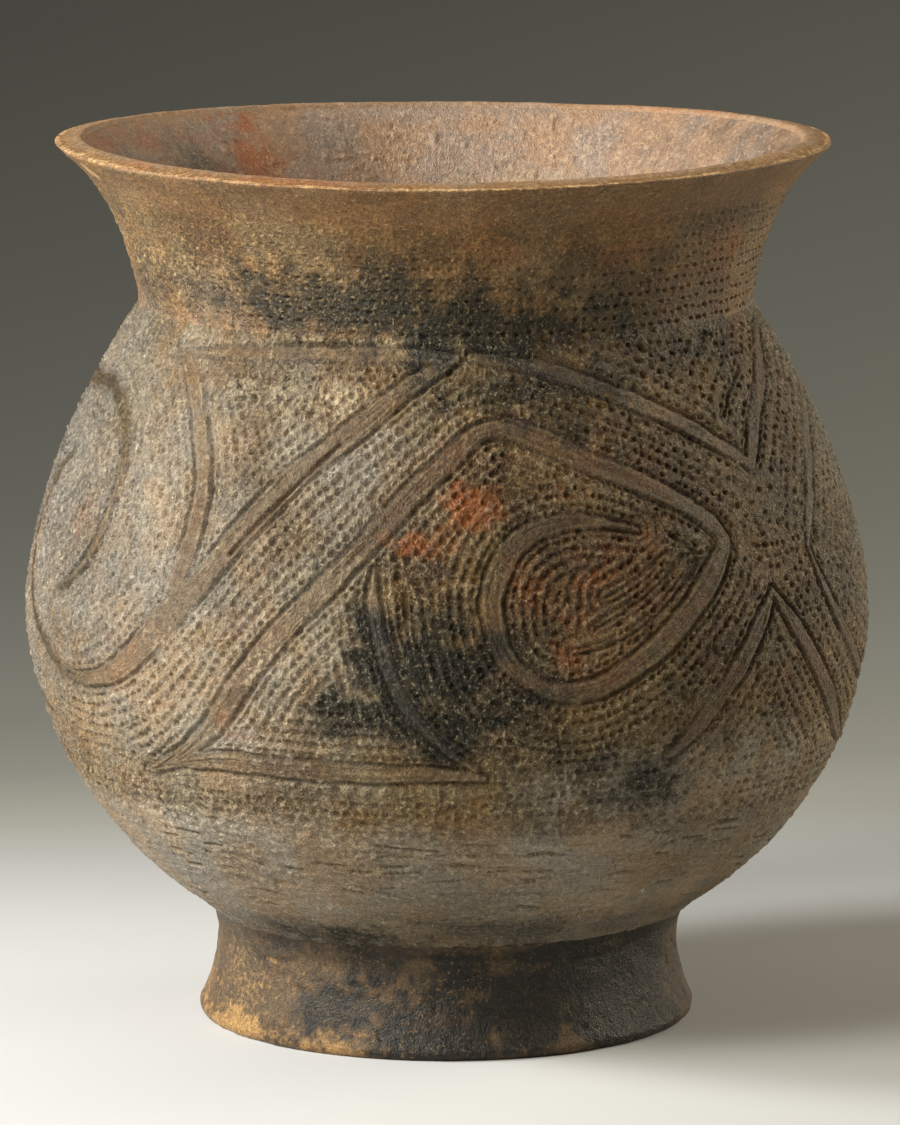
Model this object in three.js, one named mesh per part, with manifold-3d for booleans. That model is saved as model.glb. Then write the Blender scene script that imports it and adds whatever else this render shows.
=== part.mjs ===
// A footed, wide-mouthed pottery vase, hand built from clay straps and a ring foot.
// Millimetres, +Z up. The origin is the middle of the circle that the foot stands on.
import * as THREE from "three";
import { mergeVertices } from "three/addons/utils/BufferGeometryUtils.js";
import Module from "manifold-3d";

// Driving sizes of the outside, read from the photograph
const bellyRadius = 127.6;
const bellyHeight = 126;
const neckRadius = 92.2;
const neckHeight = 218.5;
const mouthRadius = 116.6;
const mouthHeight = 265.5;
const footJoinRadius = 70.8;
const footJoinHeight = 34.5;
const footRadius = 75.4;
const footEdgeHeight = 3;
const bowlBottomHeight = 13;

// How full each curve of the outside is: the lengths of its handles
const bottomFlatness = 32;
const footJoinSlope = THREE.MathUtils.degToRad(26.8);
const footJoinRun = 36;
const bellyRunDown = 37.6;
const bellyRunUp = 15.2;
const shoulderSlope = THREE.MathUtils.degToRad(55.3);
const shoulderRun = 49.6;
const neckSlope = THREE.MathUtils.degToRad(80.4);
const neckRun = 37.6;
const mouthSlope = THREE.MathUtils.degToRad(53.1);
const mouthRun = 5.5;

// Thickness of the clay
const baseThickness = 8;
const wallThickness = 6.5;
const neckThickness = 6.2;
const footThickness = 7.6;

// Lip: its inner crest stands above the end of the neck, and it drops a little outwards
const lipRise = 1.9;
const lipDrop = 1.2;
const lipInnerRounding = 1.6;
const lipOuterRounding = 1.2;

// Ring foot
const footBaseInset = 1.9;
const footInnerRounding = 1.5;
const footWaistInset = 5.4;
const footWaistHeight = 20;

// Coil of clay pressed into the inside corner between the foot and the bowl
const coilLeg = 7;
const coilHollow = 0.35;

// Luted joints between straps, each measured from the place that it serves, and the rise
// of their bevelled faces
const baseJointAboveFoot = 29.5;
const lowerJointBelowBelly = 22;
const bellyJointAboveBelly = 20;
const shoulderJointBelowNeck = 34.5;
const lipJointBelowMouth = 15.5;
const scarfRise = 6;

// Grooves beside the bands of the pattern: V-shaped, drawn into the damp clay with a point
const grooveDepth = 1;
const grooveHalfWidth = 1.3;
const grooveLift = 1;
const grooveEndShare = 0.4;

// The neck crease stood at this height when the pattern was traced; it grows with the wall
const patternTop = 218.5;

// Bands of the pattern on the front. Each is a run of places along its middle: the azimuth
// in degrees from the front, the height, and half the width of the band.
const bands = [
  [
    [0, 212, 2.5], [-12, 196.5, 4], [-22, 181, 4.2], [-29, 164.5, 4.5], [-35, 148.5, 4.5],
    [-41.5, 134, 5], [-49, 120, 4], [-54, 115.5, 3.2], [-60, 113.8, 2.6], [-66, 117, 2.6],
    [-70.5, 121.8, 2.6], [-76.5, 131, 2.6], [-82, 146, 2.6], [-82.5, 156, 2.6], [-80, 166, 2.4],
    [-75, 175, 2],
  ],
  [[-49, 209, 2.5], [-41.5, 193, 3.3], [-37.2, 173, 3.4], [-37.8, 157, 3.6], [-39, 148, 3.5]],
  [
    [-80, 196.5, 2.8], [-70, 197.8, 2.8], [-64, 194.5, 2.8], [-59, 189, 2.7], [-55.5, 178, 2.6],
    [-55.3, 165, 2.6], [-58, 151, 2.4], [-62, 142.5, 2],
  ],
  [
    [8, 194, 3.2], [5, 192, 3.3], [-4.5, 177, 3.8], [-11.5, 161, 3.6], [-17.5, 147, 4],
    [-23.5, 133, 4], [-29.5, 115.5, 4], [-36.5, 100.5, 3], [-44, 92, 2],
  ],
  [[-9.6, 152, 2.3], [-8.5, 136, 2.4], [-6, 119, 2.4], [-1, 105, 2.2], [3, 98.5, 1.8]],
  [[12, 193.5, 3.6], [22, 184.5, 3.8], [33, 174.5, 3.6], [39.5, 166.5, 3.3], [42.5, 159.5, 3]],
  [
    [41.5, 156, 3.2], [37, 145.5, 4], [30, 132.5, 4], [21, 121.5, 3.8], [17, 120, 3.6], [13, 121.5, 3.4],
    [9.5, 126.5, 3.2], [6.5, 138, 3.7], [6.5, 150, 4], [9.5, 162, 3.8], [13, 166.5, 3.4], [18, 168.5, 2.8],
    [24, 167, 2],
  ],
  [[8, 213, 2.4], [22, 207.5, 3.3], [35, 197.5, 3.3], [45, 187.5, 3], [50.5, 180.5, 2.6]],
  [[53, 181, 2.6], [57.5, 190.5, 3], [66, 201.5, 3], [74, 211, 2.6]],
  [[61.5, 156, 2.2], [66, 167.5, 2.7], [72.5, 180, 2.7], [84, 192, 2.8], [98, 196.5, 2.8]],
  [[61, 149, 2], [64.5, 136, 2.4], [73, 118, 2.5], [86, 105, 2.5], [102, 99.5, 2]],
  [[49, 140.5, 2.2], [45, 129.5, 3.4], [38.5, 112.5, 3.5], [33, 100.5, 2.6]],
  [[51, 140.5, 2.2], [55, 129.5, 3.2], [61, 115, 3.5], [68.5, 100.5, 3.3], [76.5, 90.5, 2.4]],
  [[-44, 92, 2], [-32, 96.3, 3.6], [-16, 95.8, 3.6], [0, 95.8, 2.6]],
];

// Fineness of the model: steps up the outside, up the inside, along a groove and round the pot
const profileStep = 12;
const insideStep = 15;
const grooveStep = 17;
const turnSegments = 56;

// Cuts and joins closed solids
const wasm = await Module();
wasm.setup();

const baseJointHeight = footJoinHeight + baseJointAboveFoot;
const lowerJointHeight = bellyHeight - lowerJointBelowBelly;
const bellyJointHeight = bellyHeight + bellyJointAboveBelly;
const shoulderJointHeight = neckHeight - shoulderJointBelowNeck;
const lipJointHeight = mouthHeight - lipJointBelowMouth;
const lipCrestHeight = mouthHeight + lipRise;

const point = (radius, height) => new THREE.Vector2(radius, height);

// A point at a given distance and slope from another
function along(from, slope, run) {
  return point(from.x + Math.cos(slope) * run, from.y + Math.sin(slope) * run);
}

// Outside of the pot from the middle of its round bottom to the lip, as four rising curves
const bottomMiddle = point(0, bowlBottomHeight);
const footJoin = point(footJoinRadius, footJoinHeight);
const belly = point(bellyRadius, bellyHeight);
const neckCrease = point(neckRadius, neckHeight);
const mouthEdge = point(mouthRadius, mouthHeight);

const undersideCurve = new THREE.CubicBezierCurve(
  bottomMiddle,
  point(bottomFlatness, bowlBottomHeight),
  along(footJoin, footJoinSlope, -footJoinRun),
  footJoin,
);
const lowerCurve = new THREE.CubicBezierCurve(
  footJoin,
  along(footJoin, footJoinSlope, footJoinRun),
  point(bellyRadius, bellyHeight - bellyRunDown),
  belly,
);
const upperCurve = new THREE.CubicBezierCurve(
  belly,
  point(bellyRadius, bellyHeight + bellyRunUp),
  point(
    neckRadius + Math.cos(shoulderSlope) * shoulderRun,
    neckHeight - Math.sin(shoulderSlope) * shoulderRun,
  ),
  neckCrease,
);
const neckCurve = new THREE.CubicBezierCurve(
  neckCrease,
  along(neckCrease, neckSlope, neckRun),
  along(mouthEdge, mouthSlope, -mouthRun),
  mouthEdge,
);
const wallCurves = [undersideCurve, lowerCurve, upperCurve, neckCurve];

// Where along a rising line a height is reached, found by halving
function shareAt(height, pointAt) {
  let low = 0;
  let high = 1;
  for (let step = 0; step < 40; step++) {
    const middle = (low + high) / 2;
    if (pointAt(middle).y < height) low = middle;
    else high = middle;
  }
  return (low + high) / 2;
}

// Thickness of the wall at a height of its outside
function thicknessAt(height) {
  const { lerp, smoothstep } = THREE.MathUtils;
  const body = lerp(
    baseThickness,
    wallThickness,
    smoothstep(height, bowlBottomHeight, baseJointHeight),
  );
  return lerp(body, neckThickness, smoothstep(height, shoulderJointHeight, neckHeight));
}

// The point of a curve, moved inwards through the clay, square to the surface
function inset(curve, share, depth) {
  const outside = curve.getPoint(share);
  const rise = curve.getTangent(share);
  return point(outside.x - rise.y * depth, outside.y + rise.x * depth);
}

// Points of the wall between two heights of its outside, bottom to top. The share of the
// thickness is 0 for the outside and 1 for the inside, which is rounded over the neck crease.
function wallLine(lowHeight, highHeight, depthShare) {
  const points = [];
  const size = depthShare > 0 ? insideStep : profileStep;
  const add = (next) => {
    const last = points.at(-1);
    if (!last || last.distanceTo(next) > 0.01) points.push(next);
  };
  for (const curve of wallCurves) {
    const start = Math.max(lowHeight, curve.v0.y);
    const end = Math.min(highHeight, curve.v3.y);
    if (end - start < 0.01) continue;
    const from = shareAt(start, (share) => curve.getPoint(share));
    const to = shareAt(end, (share) => curve.getPoint(share));
    const steps = Math.ceil((curve.getLength() * (to - from)) / size);
    if (curve === neckCurve && start === neckHeight) {
      const arrival = upperCurve.getTangent(1);
      const departure = neckCurve.getTangent(0);
      for (const turn of [0, 1 / 3, 2 / 3]) {
        const rise = arrival.clone().lerp(departure, turn).normalize();
        const depth = thicknessAt(neckHeight) * depthShare;
        add(point(neckCrease.x - rise.y * depth, neckCrease.y + rise.x * depth));
      }
    }
    for (let step = 0; step <= steps; step++) {
      const share = from + ((to - from) * step) / steps;
      const depth = thicknessAt(curve.getPoint(share).y) * depthShare;
      add(inset(curve, share, depth));
    }
  }
  return points;
}

// A bevelled joint: its outer line lies above its inner one, so the strap above sits inside
function scarf(height) {
  return { outer: height + scarfRise / 2, inner: height - scarfRise / 2 };
}

const baseJoint = scarf(baseJointHeight);
const lowerJoint = scarf(lowerJointHeight);
const bellyJoint = scarf(bellyJointHeight);
const shoulderJoint = scarf(shoulderJointHeight);
const neckJoint = { outer: neckHeight, inner: neckHeight - scarfRise };
const lipJoint = scarf(lipJointHeight);

// Points of a rounded corner between two points, with the sharp corner given
function roundedCorner(from, corner, to) {
  return new THREE.QuadraticBezierCurve(from, corner, to).getPoints(3);
}

// A body of revolution about Z from an outline of radius and height
function turned(name, outline, color, roughness) {
  const geometry = new THREE.LatheGeometry(outline, turnSegments);
  geometry.rotateX(Math.PI / 2);
  const material = new THREE.MeshStandardMaterial({ color, roughness, metalness: 0 });
  const mesh = new THREE.Mesh(geometry, material);
  mesh.name = name;
  return mesh;
}

// The place on the outside of the wall at an azimuth and height, with its outward direction
function placeOnWall(azimuth, height) {
  const curve = wallCurves.find((line) => height <= line.v3.y);
  const share = shareAt(height, (at) => curve.getPoint(at));
  const { x: radius } = curve.getPoint(share);
  const rise = curve.getTangent(share);
  const outwards = new THREE.Vector3(Math.sin(azimuth), -Math.cos(azimuth), 0);
  return {
    place: outwards.clone().multiplyScalar(radius).setZ(height),
    normal: outwards.multiplyScalar(rise.y).setZ(-rise.x),
  };
}

// The direction along the wall, square to a line of places, at one of them
function asideOf(line, index) {
  const before = line[Math.max(index - 1, 0)].place;
  const after = line[Math.min(index + 1, line.length - 1)].place;
  return line[index].normal.clone().cross(after.clone().sub(before)).normalize();
}

// The middle of a band as places on the wall, close enough together to follow its roundness
function bandMiddle(band, turn) {
  const { degToRad, lerp } = THREE.MathUtils;
  const placeAt = ([degrees, height]) =>
    placeOnWall(degToRad(degrees) + turn, (height * neckHeight) / patternTop);
  const middle = [{ ...placeAt(band[0]), half: band[0][2] }];
  for (let index = 1; index < band.length; index++) {
    const last = band[index - 1];
    const gap = placeAt(last).place.distanceTo(placeAt(band[index]).place);
    const steps = Math.ceil(gap / grooveStep);
    for (let step = 1; step <= steps; step++) {
      const next = band[index].map((value, item) => lerp(last[item], value, step / steps));
      middle.push({ ...placeAt(next), half: next[2] });
    }
  }
  return middle;
}

// One edge of a band, as places on the wall
function bandEdge(middle, side) {
  return middle.map(({ place, half }, index) => {
    const edge = place.clone().addScaledVector(asideOf(middle, index), side * half);
    return placeOnWall(Math.atan2(edge.x, -edge.y), edge.z);
  });
}

// A solid from a closed geometry, for joining and cutting
function solidFrom(geometry) {
  const bare = new THREE.BufferGeometry();
  bare.setAttribute("position", geometry.getAttribute("position"));
  bare.setIndex(geometry.index);
  const merged = mergeVertices(bare, 1e-3);
  return new wasm.Manifold(
    new wasm.Mesh({
      numProp: 3,
      vertProperties: new Float32Array(merged.getAttribute("position").array),
      triVerts: new Uint32Array(merged.index.array),
    }),
  );
}

// What a point takes out of the wall along a line: a V with its open side above the surface,
// shallower at both ends
function grooveSolid(line) {
  const corners = [];
  line.forEach(({ place, normal }, index) => {
    const atEnd = index === 0 || index === line.length - 1;
    const depth = atEnd ? grooveDepth * grooveEndShare : grooveDepth;
    const reach = (grooveHalfWidth * (depth + grooveLift)) / grooveDepth;
    const aside = asideOf(line, index);
    const above = place.clone().addScaledVector(normal, grooveLift);
    corners.push(
      place.clone().addScaledVector(normal, -depth),
      above.clone().addScaledVector(aside, reach),
      above.clone().addScaledVector(aside, -reach),
    );
  });
  const faces = [0, 2, 1];
  for (let first = 0; first < corners.length - 3; first += 3) {
    for (const [from, to] of [[0, 1], [1, 2], [2, 0]]) {
      faces.push(first + from, first + to, first + to + 3);
      faces.push(first + from, first + to + 3, first + from + 3);
    }
  }
  const last = corners.length - 3;
  faces.push(last, last + 1, last + 2);
  const geometry = new THREE.BufferGeometry().setFromPoints(corners);
  geometry.setIndex(faces);
  return solidFrom(geometry);
}

// Both grooves of every band; the back has the front's pattern half a turn on
const grooves = [];
for (const turn of [0, Math.PI]) {
  for (const band of bands) {
    const middle = bandMiddle(band, turn);
    for (const side of [-1, 1]) grooves.push(grooveSolid(bandEdge(middle, side)));
  }
}

// A piece of the wall with the grooves drawn into it
function grooved(mesh) {
  let solid = solidFrom(mesh.geometry);
  for (const groove of grooves) solid = solid.subtract(groove);
  const cut = solid.getMesh();
  mesh.geometry = new THREE.BufferGeometry();
  mesh.geometry.setAttribute("position", new THREE.BufferAttribute(cut.vertProperties, 3));
  mesh.geometry.setIndex(new THREE.BufferAttribute(cut.triVerts, 1));
  mesh.geometry = mesh.geometry.toNonIndexed();
  mesh.geometry.computeVertexNormals();
  return mesh;
}

// One strap of the wall between two joints
function strapOutline(below, above) {
  const outside = wallLine(below.outer, above.outer, 0);
  const inside = wallLine(below.inner, above.inner, 1).reverse();
  return [...outside, ...inside, outside[0]];
}

// Lip: the top of the flared neck, cut nearly level and rounded at both edges
function lipOutline() {
  const outside = wallLine(lipJoint.outer, mouthHeight, 0);
  const insideAt = (share) => inset(neckCurve, share, neckThickness);
  const innerFrom = shareAt(lipJoint.inner, (share) => neckCurve.getPoint(share));
  const innerTo = shareAt(lipCrestHeight - lipInnerRounding, insideAt);
  const innerSteps = Math.ceil(((innerTo - innerFrom) * neckCurve.getLength()) / profileStep);
  const inside = [];
  for (let step = 0; step <= innerSteps; step++) {
    inside.push(insideAt(innerFrom + ((innerTo - innerFrom) * step) / innerSteps));
  }
  const innerEdge = inside.at(-1);
  const crest = point(innerEdge.x + lipInnerRounding * 0.8, lipCrestHeight);
  const outerEdge = outside.at(-1);
  const top = point(outerEdge.x - lipOuterRounding, lipCrestHeight - lipDrop);
  return [
    ...outside.slice(0, -1),
    ...roundedCorner(outerEdge, point(outerEdge.x + lipOuterRounding / 3, top.y), top),
    ...roundedCorner(crest, point(innerEdge.x + lipInnerRounding * 0.2, lipCrestHeight), innerEdge),
    ...inside.reverse().slice(1),
    outside[0],
  ];
}

// Ring foot: a flared ring whose top is seated on the underside of the bowl
const footWaist = point(footRadius - footWaistInset, footWaistHeight);
const footEdge = point(footRadius, footEdgeHeight);
const footCurve = new THREE.CubicBezierCurve(
  footEdge,
  point(footWaist.x + 0.3, (footEdgeHeight + footWaistHeight) / 2),
  point(footWaist.x - 0.6, footWaistHeight + 6),
  footJoin,
);
const seatInnerRadius = footJoinRadius - footThickness;

// Where the underside of the bowl lies at a radius
function undersideAt(radius) {
  const share = shareAt(radius, (at) => point(0, undersideCurve.getPoint(at).x));
  return undersideCurve.getPoint(share);
}

// Lines on the underside of the bowl that the coil and the foot are pressed against,
// from the middle outwards. Both sides of each joint use these same points.
const seatMiddle = undersideAt((seatInnerRadius + footJoinRadius) / 2);
const seatLine = [undersideAt(seatInnerRadius), seatMiddle, footJoin];
const coilLine = [
  undersideAt(seatInnerRadius - coilLeg),
  undersideAt(seatInnerRadius - coilLeg / 2),
  seatLine[0],
];

// Round-bottomed bowl that the rest is built up on
function bowlOutline() {
  const bottom = wallLine(bowlBottomHeight, coilLine[0].y, 0);
  const side = wallLine(footJoinHeight, baseJoint.outer, 0);
  const inside = wallLine(bowlBottomHeight, baseJoint.inner, 1).reverse();
  return [
    ...bottom.slice(0, -1),
    ...coilLine,
    seatMiddle,
    footJoin,
    ...side.slice(1),
    ...inside,
  ];
}

// Inner face of the foot from its seat down to the level of its outer edge
const footInnerTop = seatLine[0];
const footInnerWaist = point(footWaist.x - footThickness, footWaistHeight);
const footInnerBase = point(footRadius - footThickness - footBaseInset, 0);

function footOutline() {
  const base = point(footRadius - footBaseInset, 0);
  const bottomCorner = point(footInnerBase.x - footInnerRounding, footInnerRounding);
  return [
    base,
    ...roundedCorner(base, point(footRadius, 0), footEdge).slice(1, -1),
    ...footCurve.getPoints(5).slice(0, -1),
    ...seatLine.toReversed(),
    footInnerWaist,
    ...roundedCorner(bottomCorner, point(bottomCorner.x, 0), footInnerBase),
    base,
  ];
}

// Luting coil: its two faces follow the underside of the bowl and the inside of the foot
function coilOutline() {
  const faceLength = footInnerTop.distanceTo(footInnerWaist);
  const down = footInnerTop.clone().lerp(footInnerWaist, coilLeg / faceLength);
  const chordMiddle = coilLine[0].clone().lerp(down, 0.5);
  const hollow = chordMiddle.lerp(footInnerTop, coilHollow);
  return [...coilLine.toReversed(), ...roundedCorner(coilLine[0], hollow, down).slice(1), footInnerTop];
}

const clay = {
  foot: 0x5a4a3d,
  luting: 0x6b5b4c,
  bowl: 0x6f6558,
  wall: 0x766758,
  belly: 0x6e5f51,
  shoulder: 0x6a5f54,
  neck: 0x8a7259,
  lip: 0xa88a6c,
};

const vase = new THREE.Group();
vase.add(
  turned("ring_foot", footOutline(), clay.foot, 0.6),
  turned("foot_luting_coil", coilOutline(), clay.luting, 0.85),
  turned("base_bowl", bowlOutline(), clay.bowl, 0.75),
  grooved(turned("lower_wall", strapOutline(baseJoint, lowerJoint), clay.wall, 0.75)),
  grooved(turned("belly_wall", strapOutline(lowerJoint, bellyJoint), clay.belly, 0.7)),
  grooved(turned("upper_wall", strapOutline(bellyJoint, shoulderJoint), clay.belly, 0.7)),
  grooved(turned("shoulder", strapOutline(shoulderJoint, neckJoint), clay.shoulder, 0.7)),
  turned("neck_collar", strapOutline(neckJoint, lipJoint), clay.neck, 0.75),
  turned("lip", lipOutline(), clay.lip, 0.6),
);

export default vase;
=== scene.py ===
import math

import bpy
import numpy as np
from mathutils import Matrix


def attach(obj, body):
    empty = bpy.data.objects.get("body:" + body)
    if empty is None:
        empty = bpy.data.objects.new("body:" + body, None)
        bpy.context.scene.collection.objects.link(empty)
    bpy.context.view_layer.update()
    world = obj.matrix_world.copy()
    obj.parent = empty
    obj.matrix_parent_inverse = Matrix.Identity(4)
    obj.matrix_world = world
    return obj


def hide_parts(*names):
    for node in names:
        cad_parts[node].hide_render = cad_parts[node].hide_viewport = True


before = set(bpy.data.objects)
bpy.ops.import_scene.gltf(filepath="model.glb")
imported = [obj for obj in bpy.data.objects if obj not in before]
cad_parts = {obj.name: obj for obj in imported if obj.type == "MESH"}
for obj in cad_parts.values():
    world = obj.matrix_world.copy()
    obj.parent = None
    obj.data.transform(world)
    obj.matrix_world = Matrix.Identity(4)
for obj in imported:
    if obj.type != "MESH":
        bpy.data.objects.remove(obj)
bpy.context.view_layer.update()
scene = bpy.context.scene

# Camera: stands in front of the pot, above its rim, and looks slightly down at it.
# It is a long lens a good way off, which keeps the mouth a shallow ellipse.
camera_distance = 2.2974
camera_height = 0.5236
camera_aside = 0.0012
camera_tilt_down = math.radians(9.536)
camera_data = bpy.data.cameras.new("camera")
camera_data.sensor_fit = "VERTICAL"
camera_data.sensor_height = 36
camera_data.lens = 245.7
camera = bpy.data.objects.new("camera", camera_data)
camera.location = (camera_aside, -camera_distance, camera_height)
camera.rotation_euler = (math.radians(90) - camera_tilt_down, 0, 0)
scene.collection.objects.link(camera)
scene.camera = camera
scene.view_settings.view_transform = "Standard"

# Floor and backdrop: one wide sheet of paper, nearly white and level under the
# pot and swept up in a long curve. Its colour greys off behind the pot, painted shade for the light's
# falloff.
floor_half_width = 3.2
floor_front = -3.0
sweep_start = 0.75
sweep_radius = 1.5
backdrop_height = 3.4
sweep_line = [(floor_front, 0.0), (sweep_start, 0.0)]
for degrees in range(6, 91, 6):
    turn = math.radians(degrees)
    sweep_line.append((sweep_start + math.sin(turn) * sweep_radius, (1 - math.cos(turn)) * sweep_radius))
sweep_line.append((sweep_start + sweep_radius, backdrop_height))
sweep_points = []
for depth, height in sweep_line:
    sweep_points.append((-floor_half_width, depth, height))
    sweep_points.append((floor_half_width, depth, height))
sweep_faces = []
for step in range(len(sweep_line) - 1):
    sweep_faces.append((2 * step, 2 * step + 1, 2 * step + 3, 2 * step + 2))
paper_mesh = bpy.data.meshes.new("paper_sweep")
paper_mesh.from_pydata(sweep_points, [], sweep_faces)
paper_mesh.polygons.foreach_set("use_smooth", [True] * len(sweep_faces))
paper_sweep = bpy.data.objects.new("paper_sweep", paper_mesh)
scene.collection.objects.link(paper_sweep)

# Paper: matt, a touch warm. Its greys are painted light falloff: each tone is a depth behind the pot in
# metres and its grey.
paper = bpy.data.materials.new("paper_with_painted_falloff")
paper.use_nodes = True
paper_nodes = paper.node_tree.nodes
paper_links = paper.node_tree.links
paper_shader = paper_nodes["Principled BSDF"]
paper_shader.inputs["Roughness"].default_value = 0.95
paper_shader.inputs["Specular IOR Level"].default_value = 0.1
paper_place = paper_nodes.new("ShaderNodeTexCoord")
paper_axes = paper_nodes.new("ShaderNodeSeparateXYZ")
paper_links.new(paper_place.outputs["Object"], paper_axes.inputs["Vector"])
place_across = paper_axes.outputs["X"]
place_behind = paper_axes.outputs["Y"]


def paper_sum(operation, *values):
    node = paper_nodes.new("ShaderNodeMath")
    node.operation = operation
    for slot, value in zip(node.inputs, values):
        if isinstance(value, float):
            slot.default_value = value
        else:
            paper_links.new(value, slot)
    return node.outputs["Value"]


def paper_range(value, low, high, to_low=0.0, to_high=1.0):
    node = paper_nodes.new("ShaderNodeMapRange")
    for socket, limit in zip(("From Min", "From Max", "To Min", "To Max"), (low, high, to_low, to_high)):
        node.inputs[socket].default_value = limit
    paper_links.new(value, node.inputs["Value"])
    return node.outputs["Result"]


# The painted tones lie a little aslant, and painted light makes the paper lighter on one side: the left near
# the pot, the right further back.
tone_start = -0.2
tone_end = 1.6
tone_slant = -0.12
painted_falloff_ramp = paper_nodes.new("ShaderNodeValToRGB")
painted_falloff_tones = ((-0.19, 0.55), (0.06, 0.52), (0.14, 0.455), (0.22, 0.36), (0.30, 0.265), (0.39, 0.188),
               (0.49, 0.160), (0.70, 0.134), (0.95, 0.108), (1.45, 0.060))
ramp = painted_falloff_ramp.color_ramp
while len(ramp.elements) < len(painted_falloff_tones):
    ramp.elements.new(0.5)
for stop, (depth, grey) in zip(ramp.elements, painted_falloff_tones):
    stop.position = (depth - tone_start) / (tone_end - tone_start)
    blue = 0.98 if depth < 0.25 else 0.88
    stop.color = (grey, grey * 1.003, grey * blue, 1)
tone_depth = paper_sum("MULTIPLY_ADD", place_across, tone_slant, place_behind)
paper_links.new(paper_range(tone_depth, tone_start, tone_end), painted_falloff_ramp.inputs["Fac"])
painted_side_light = paper_sum(
    "ADD", paper_range(place_behind, 0.15, 0.45, 0.0, 0.75), paper_range(place_behind, -0.06, 0.1, -0.8, 0.0)
)
paper_level = paper_nodes.new("ShaderNodeVectorMath")
paper_level.operation = "SCALE"
paper_links.new(painted_falloff_ramp.outputs["Color"], paper_level.inputs[0])
paper_links.new(paper_sum("MULTIPLY_ADD", place_across, painted_side_light, 1.0), paper_level.inputs["Scale"])
paper_links.new(paper_level.outputs["Vector"], paper_shader.inputs["Base Color"])
paper_mesh.materials.append(paper)

# Light: one large soft lamp high on the viewer's left, which rakes the relief, a broad one
# at the left front, a weak one on the right, and a dim even room.
room = bpy.data.worlds.new("room")
scene.world = room
room.use_nodes = True
room_light = room.node_tree.nodes["Background"]
room_light.inputs["Color"].default_value = (1.0, 0.95, 0.81, 1)
room_light.inputs["Strength"].default_value = 0.165


def soft_lamp(name, place, aim, width, power, tint):
    lamp_data = bpy.data.lights.new(name, "AREA")
    lamp_data.shape = "SQUARE"
    lamp_data.size = width
    lamp_data.energy = power
    lamp_data.color = tint
    lamp = bpy.data.objects.new(name, lamp_data)
    lamp.location = place
    aside, ahead, up = (aim[axis] - place[axis] for axis in range(3))
    tilt = math.atan2(math.hypot(aside, ahead), -up)
    lamp.rotation_euler = (tilt, 0, math.atan2(ahead, aside) - math.pi / 2)
    scene.collection.objects.link(lamp)


pot_middle = (0, 0, 0.15)
soft_lamp("key_lamp", (-1.74, -0.12, 1.04), pot_middle, 0.5, 51, (0.98, 0.98, 0.99))
soft_lamp("front_fill", (-1.45, -1.2, 1.55), pot_middle, 0.9, 57, (1.0, 0.965, 0.89))
soft_lamp("right_fill", (1.72, 0.78, 0.85), pot_middle, 1.2, 29, (1.0, 0.91, 0.73))

# Ring foot: a low flared ring of coarse clay, luted under the round bottom and smoothed with
# wet fingers. It is the darkest part, blackened in the fire and rubbed by handling.
# All lengths from here on are millimetres; they turn into metres when a mesh is made.
foot_radius = 75.4
foot_edge_height = 3.0
foot_base_radius = 73.5
foot_join_radius = 70.8
foot_join_height = 34.5
foot_waist_radius = 70.0
foot_waist_height = 20.0
foot_thickness = 7.6
bowl_bottom_height = 13.0
foot_join_slope = math.radians(26.8)
foot_join_run = 36.0
columns = 2000
outside_step = 0.42
inside_step = 1.4
turns = np.arange(columns) / columns * 2 * math.pi - math.pi
degrees_round = np.degrees(turns)[None, :]
masks = ("burnish", "press", "worn", "smoke", "blush", "buff", "pale", "ash")


def bezier(start, leave, arrive, end, count=160):
    share = np.linspace(0, 1, count)[:, None]
    places = [np.array(place, float) for place in (start, leave, arrive, end)]
    weights = [(1 - share) ** 3, 3 * share * (1 - share) ** 2, 3 * share**2 * (1 - share), share**3]
    return sum(weight * place for weight, place in zip(weights, places))


def moved(place, slope, run):
    return (place[0] + math.cos(slope) * run, place[1] + math.sin(slope) * run)


# An even run of points along a line of radius and height; further values ride along
def even_line(points, step):
    points = np.array(points, float)
    gaps = np.hypot(*np.diff(points[:, :2], axis=0).T)
    run = np.concatenate([[0], np.cumsum(gaps)])
    even = np.linspace(0, run[-1], max(2, int(round(run[-1] / step)) + 1))
    return np.stack([np.interp(even, run, values) for values in points.T], axis=1)


# Surface of a line of radius and height turned about the axis, before any relief
def turned_skin(line):
    slope = np.gradient(line[:, :2], axis=0)
    slope /= np.maximum(np.hypot(slope[:, 0], slope[:, 1]), 1e-9)[:, None]
    run = np.concatenate([[0], np.cumsum(np.hypot(*np.diff(line[:, :2], axis=0).T))])
    radius, height = line[:, 0:1], line[:, 1:2]
    flat = np.zeros((len(line), columns), np.float32)
    skin = {
        "line": line,
        "run": run,
        "radius": radius + flat,
        "z": height + flat,
        "x": radius * np.sin(turns) + flat,
        "y": -radius * np.cos(turns) + flat,
        "out": slope[:, 1:2],
        "lift": -slope[:, 0:1],
        "relief": flat.copy(),
    }
    for mask in masks:
        skin[mask] = flat.copy()
    return skin


grain_table = np.random.default_rng(7).uniform(-1, 1, 4096).astype(np.float32)


# Smooth lumps between -1 and 1 all through space, of a given size
def lumps(skin, size, seed, flatness=1.0):
    cells = []
    shares = []
    for axis, stretch in (("x", 1.0), ("y", 1.0), ("z", flatness)):
        value = skin[axis] * (stretch / size) + 31.7 * seed
        cell = np.floor(value)
        share = (value - cell).astype(np.float32)
        cells.append(cell.astype(np.int64))
        shares.append(share * share * (3 - 2 * share))
    total = 0
    for corner in range(8):
        steps = (corner & 1, corner >> 1 & 1, corner >> 2 & 1)
        mixed = seed * 517
        weight = 1
        for cell, share, step, prime in zip(cells, shares, steps, (73856093, 19349663, 83492791)):
            mixed = mixed ^ ((cell + step) * prime)
            weight = weight * (share if step else 1 - share)
        total = total + weight * grain_table[(mixed ^ (mixed >> 13)) & 4095]
    return total


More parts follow.
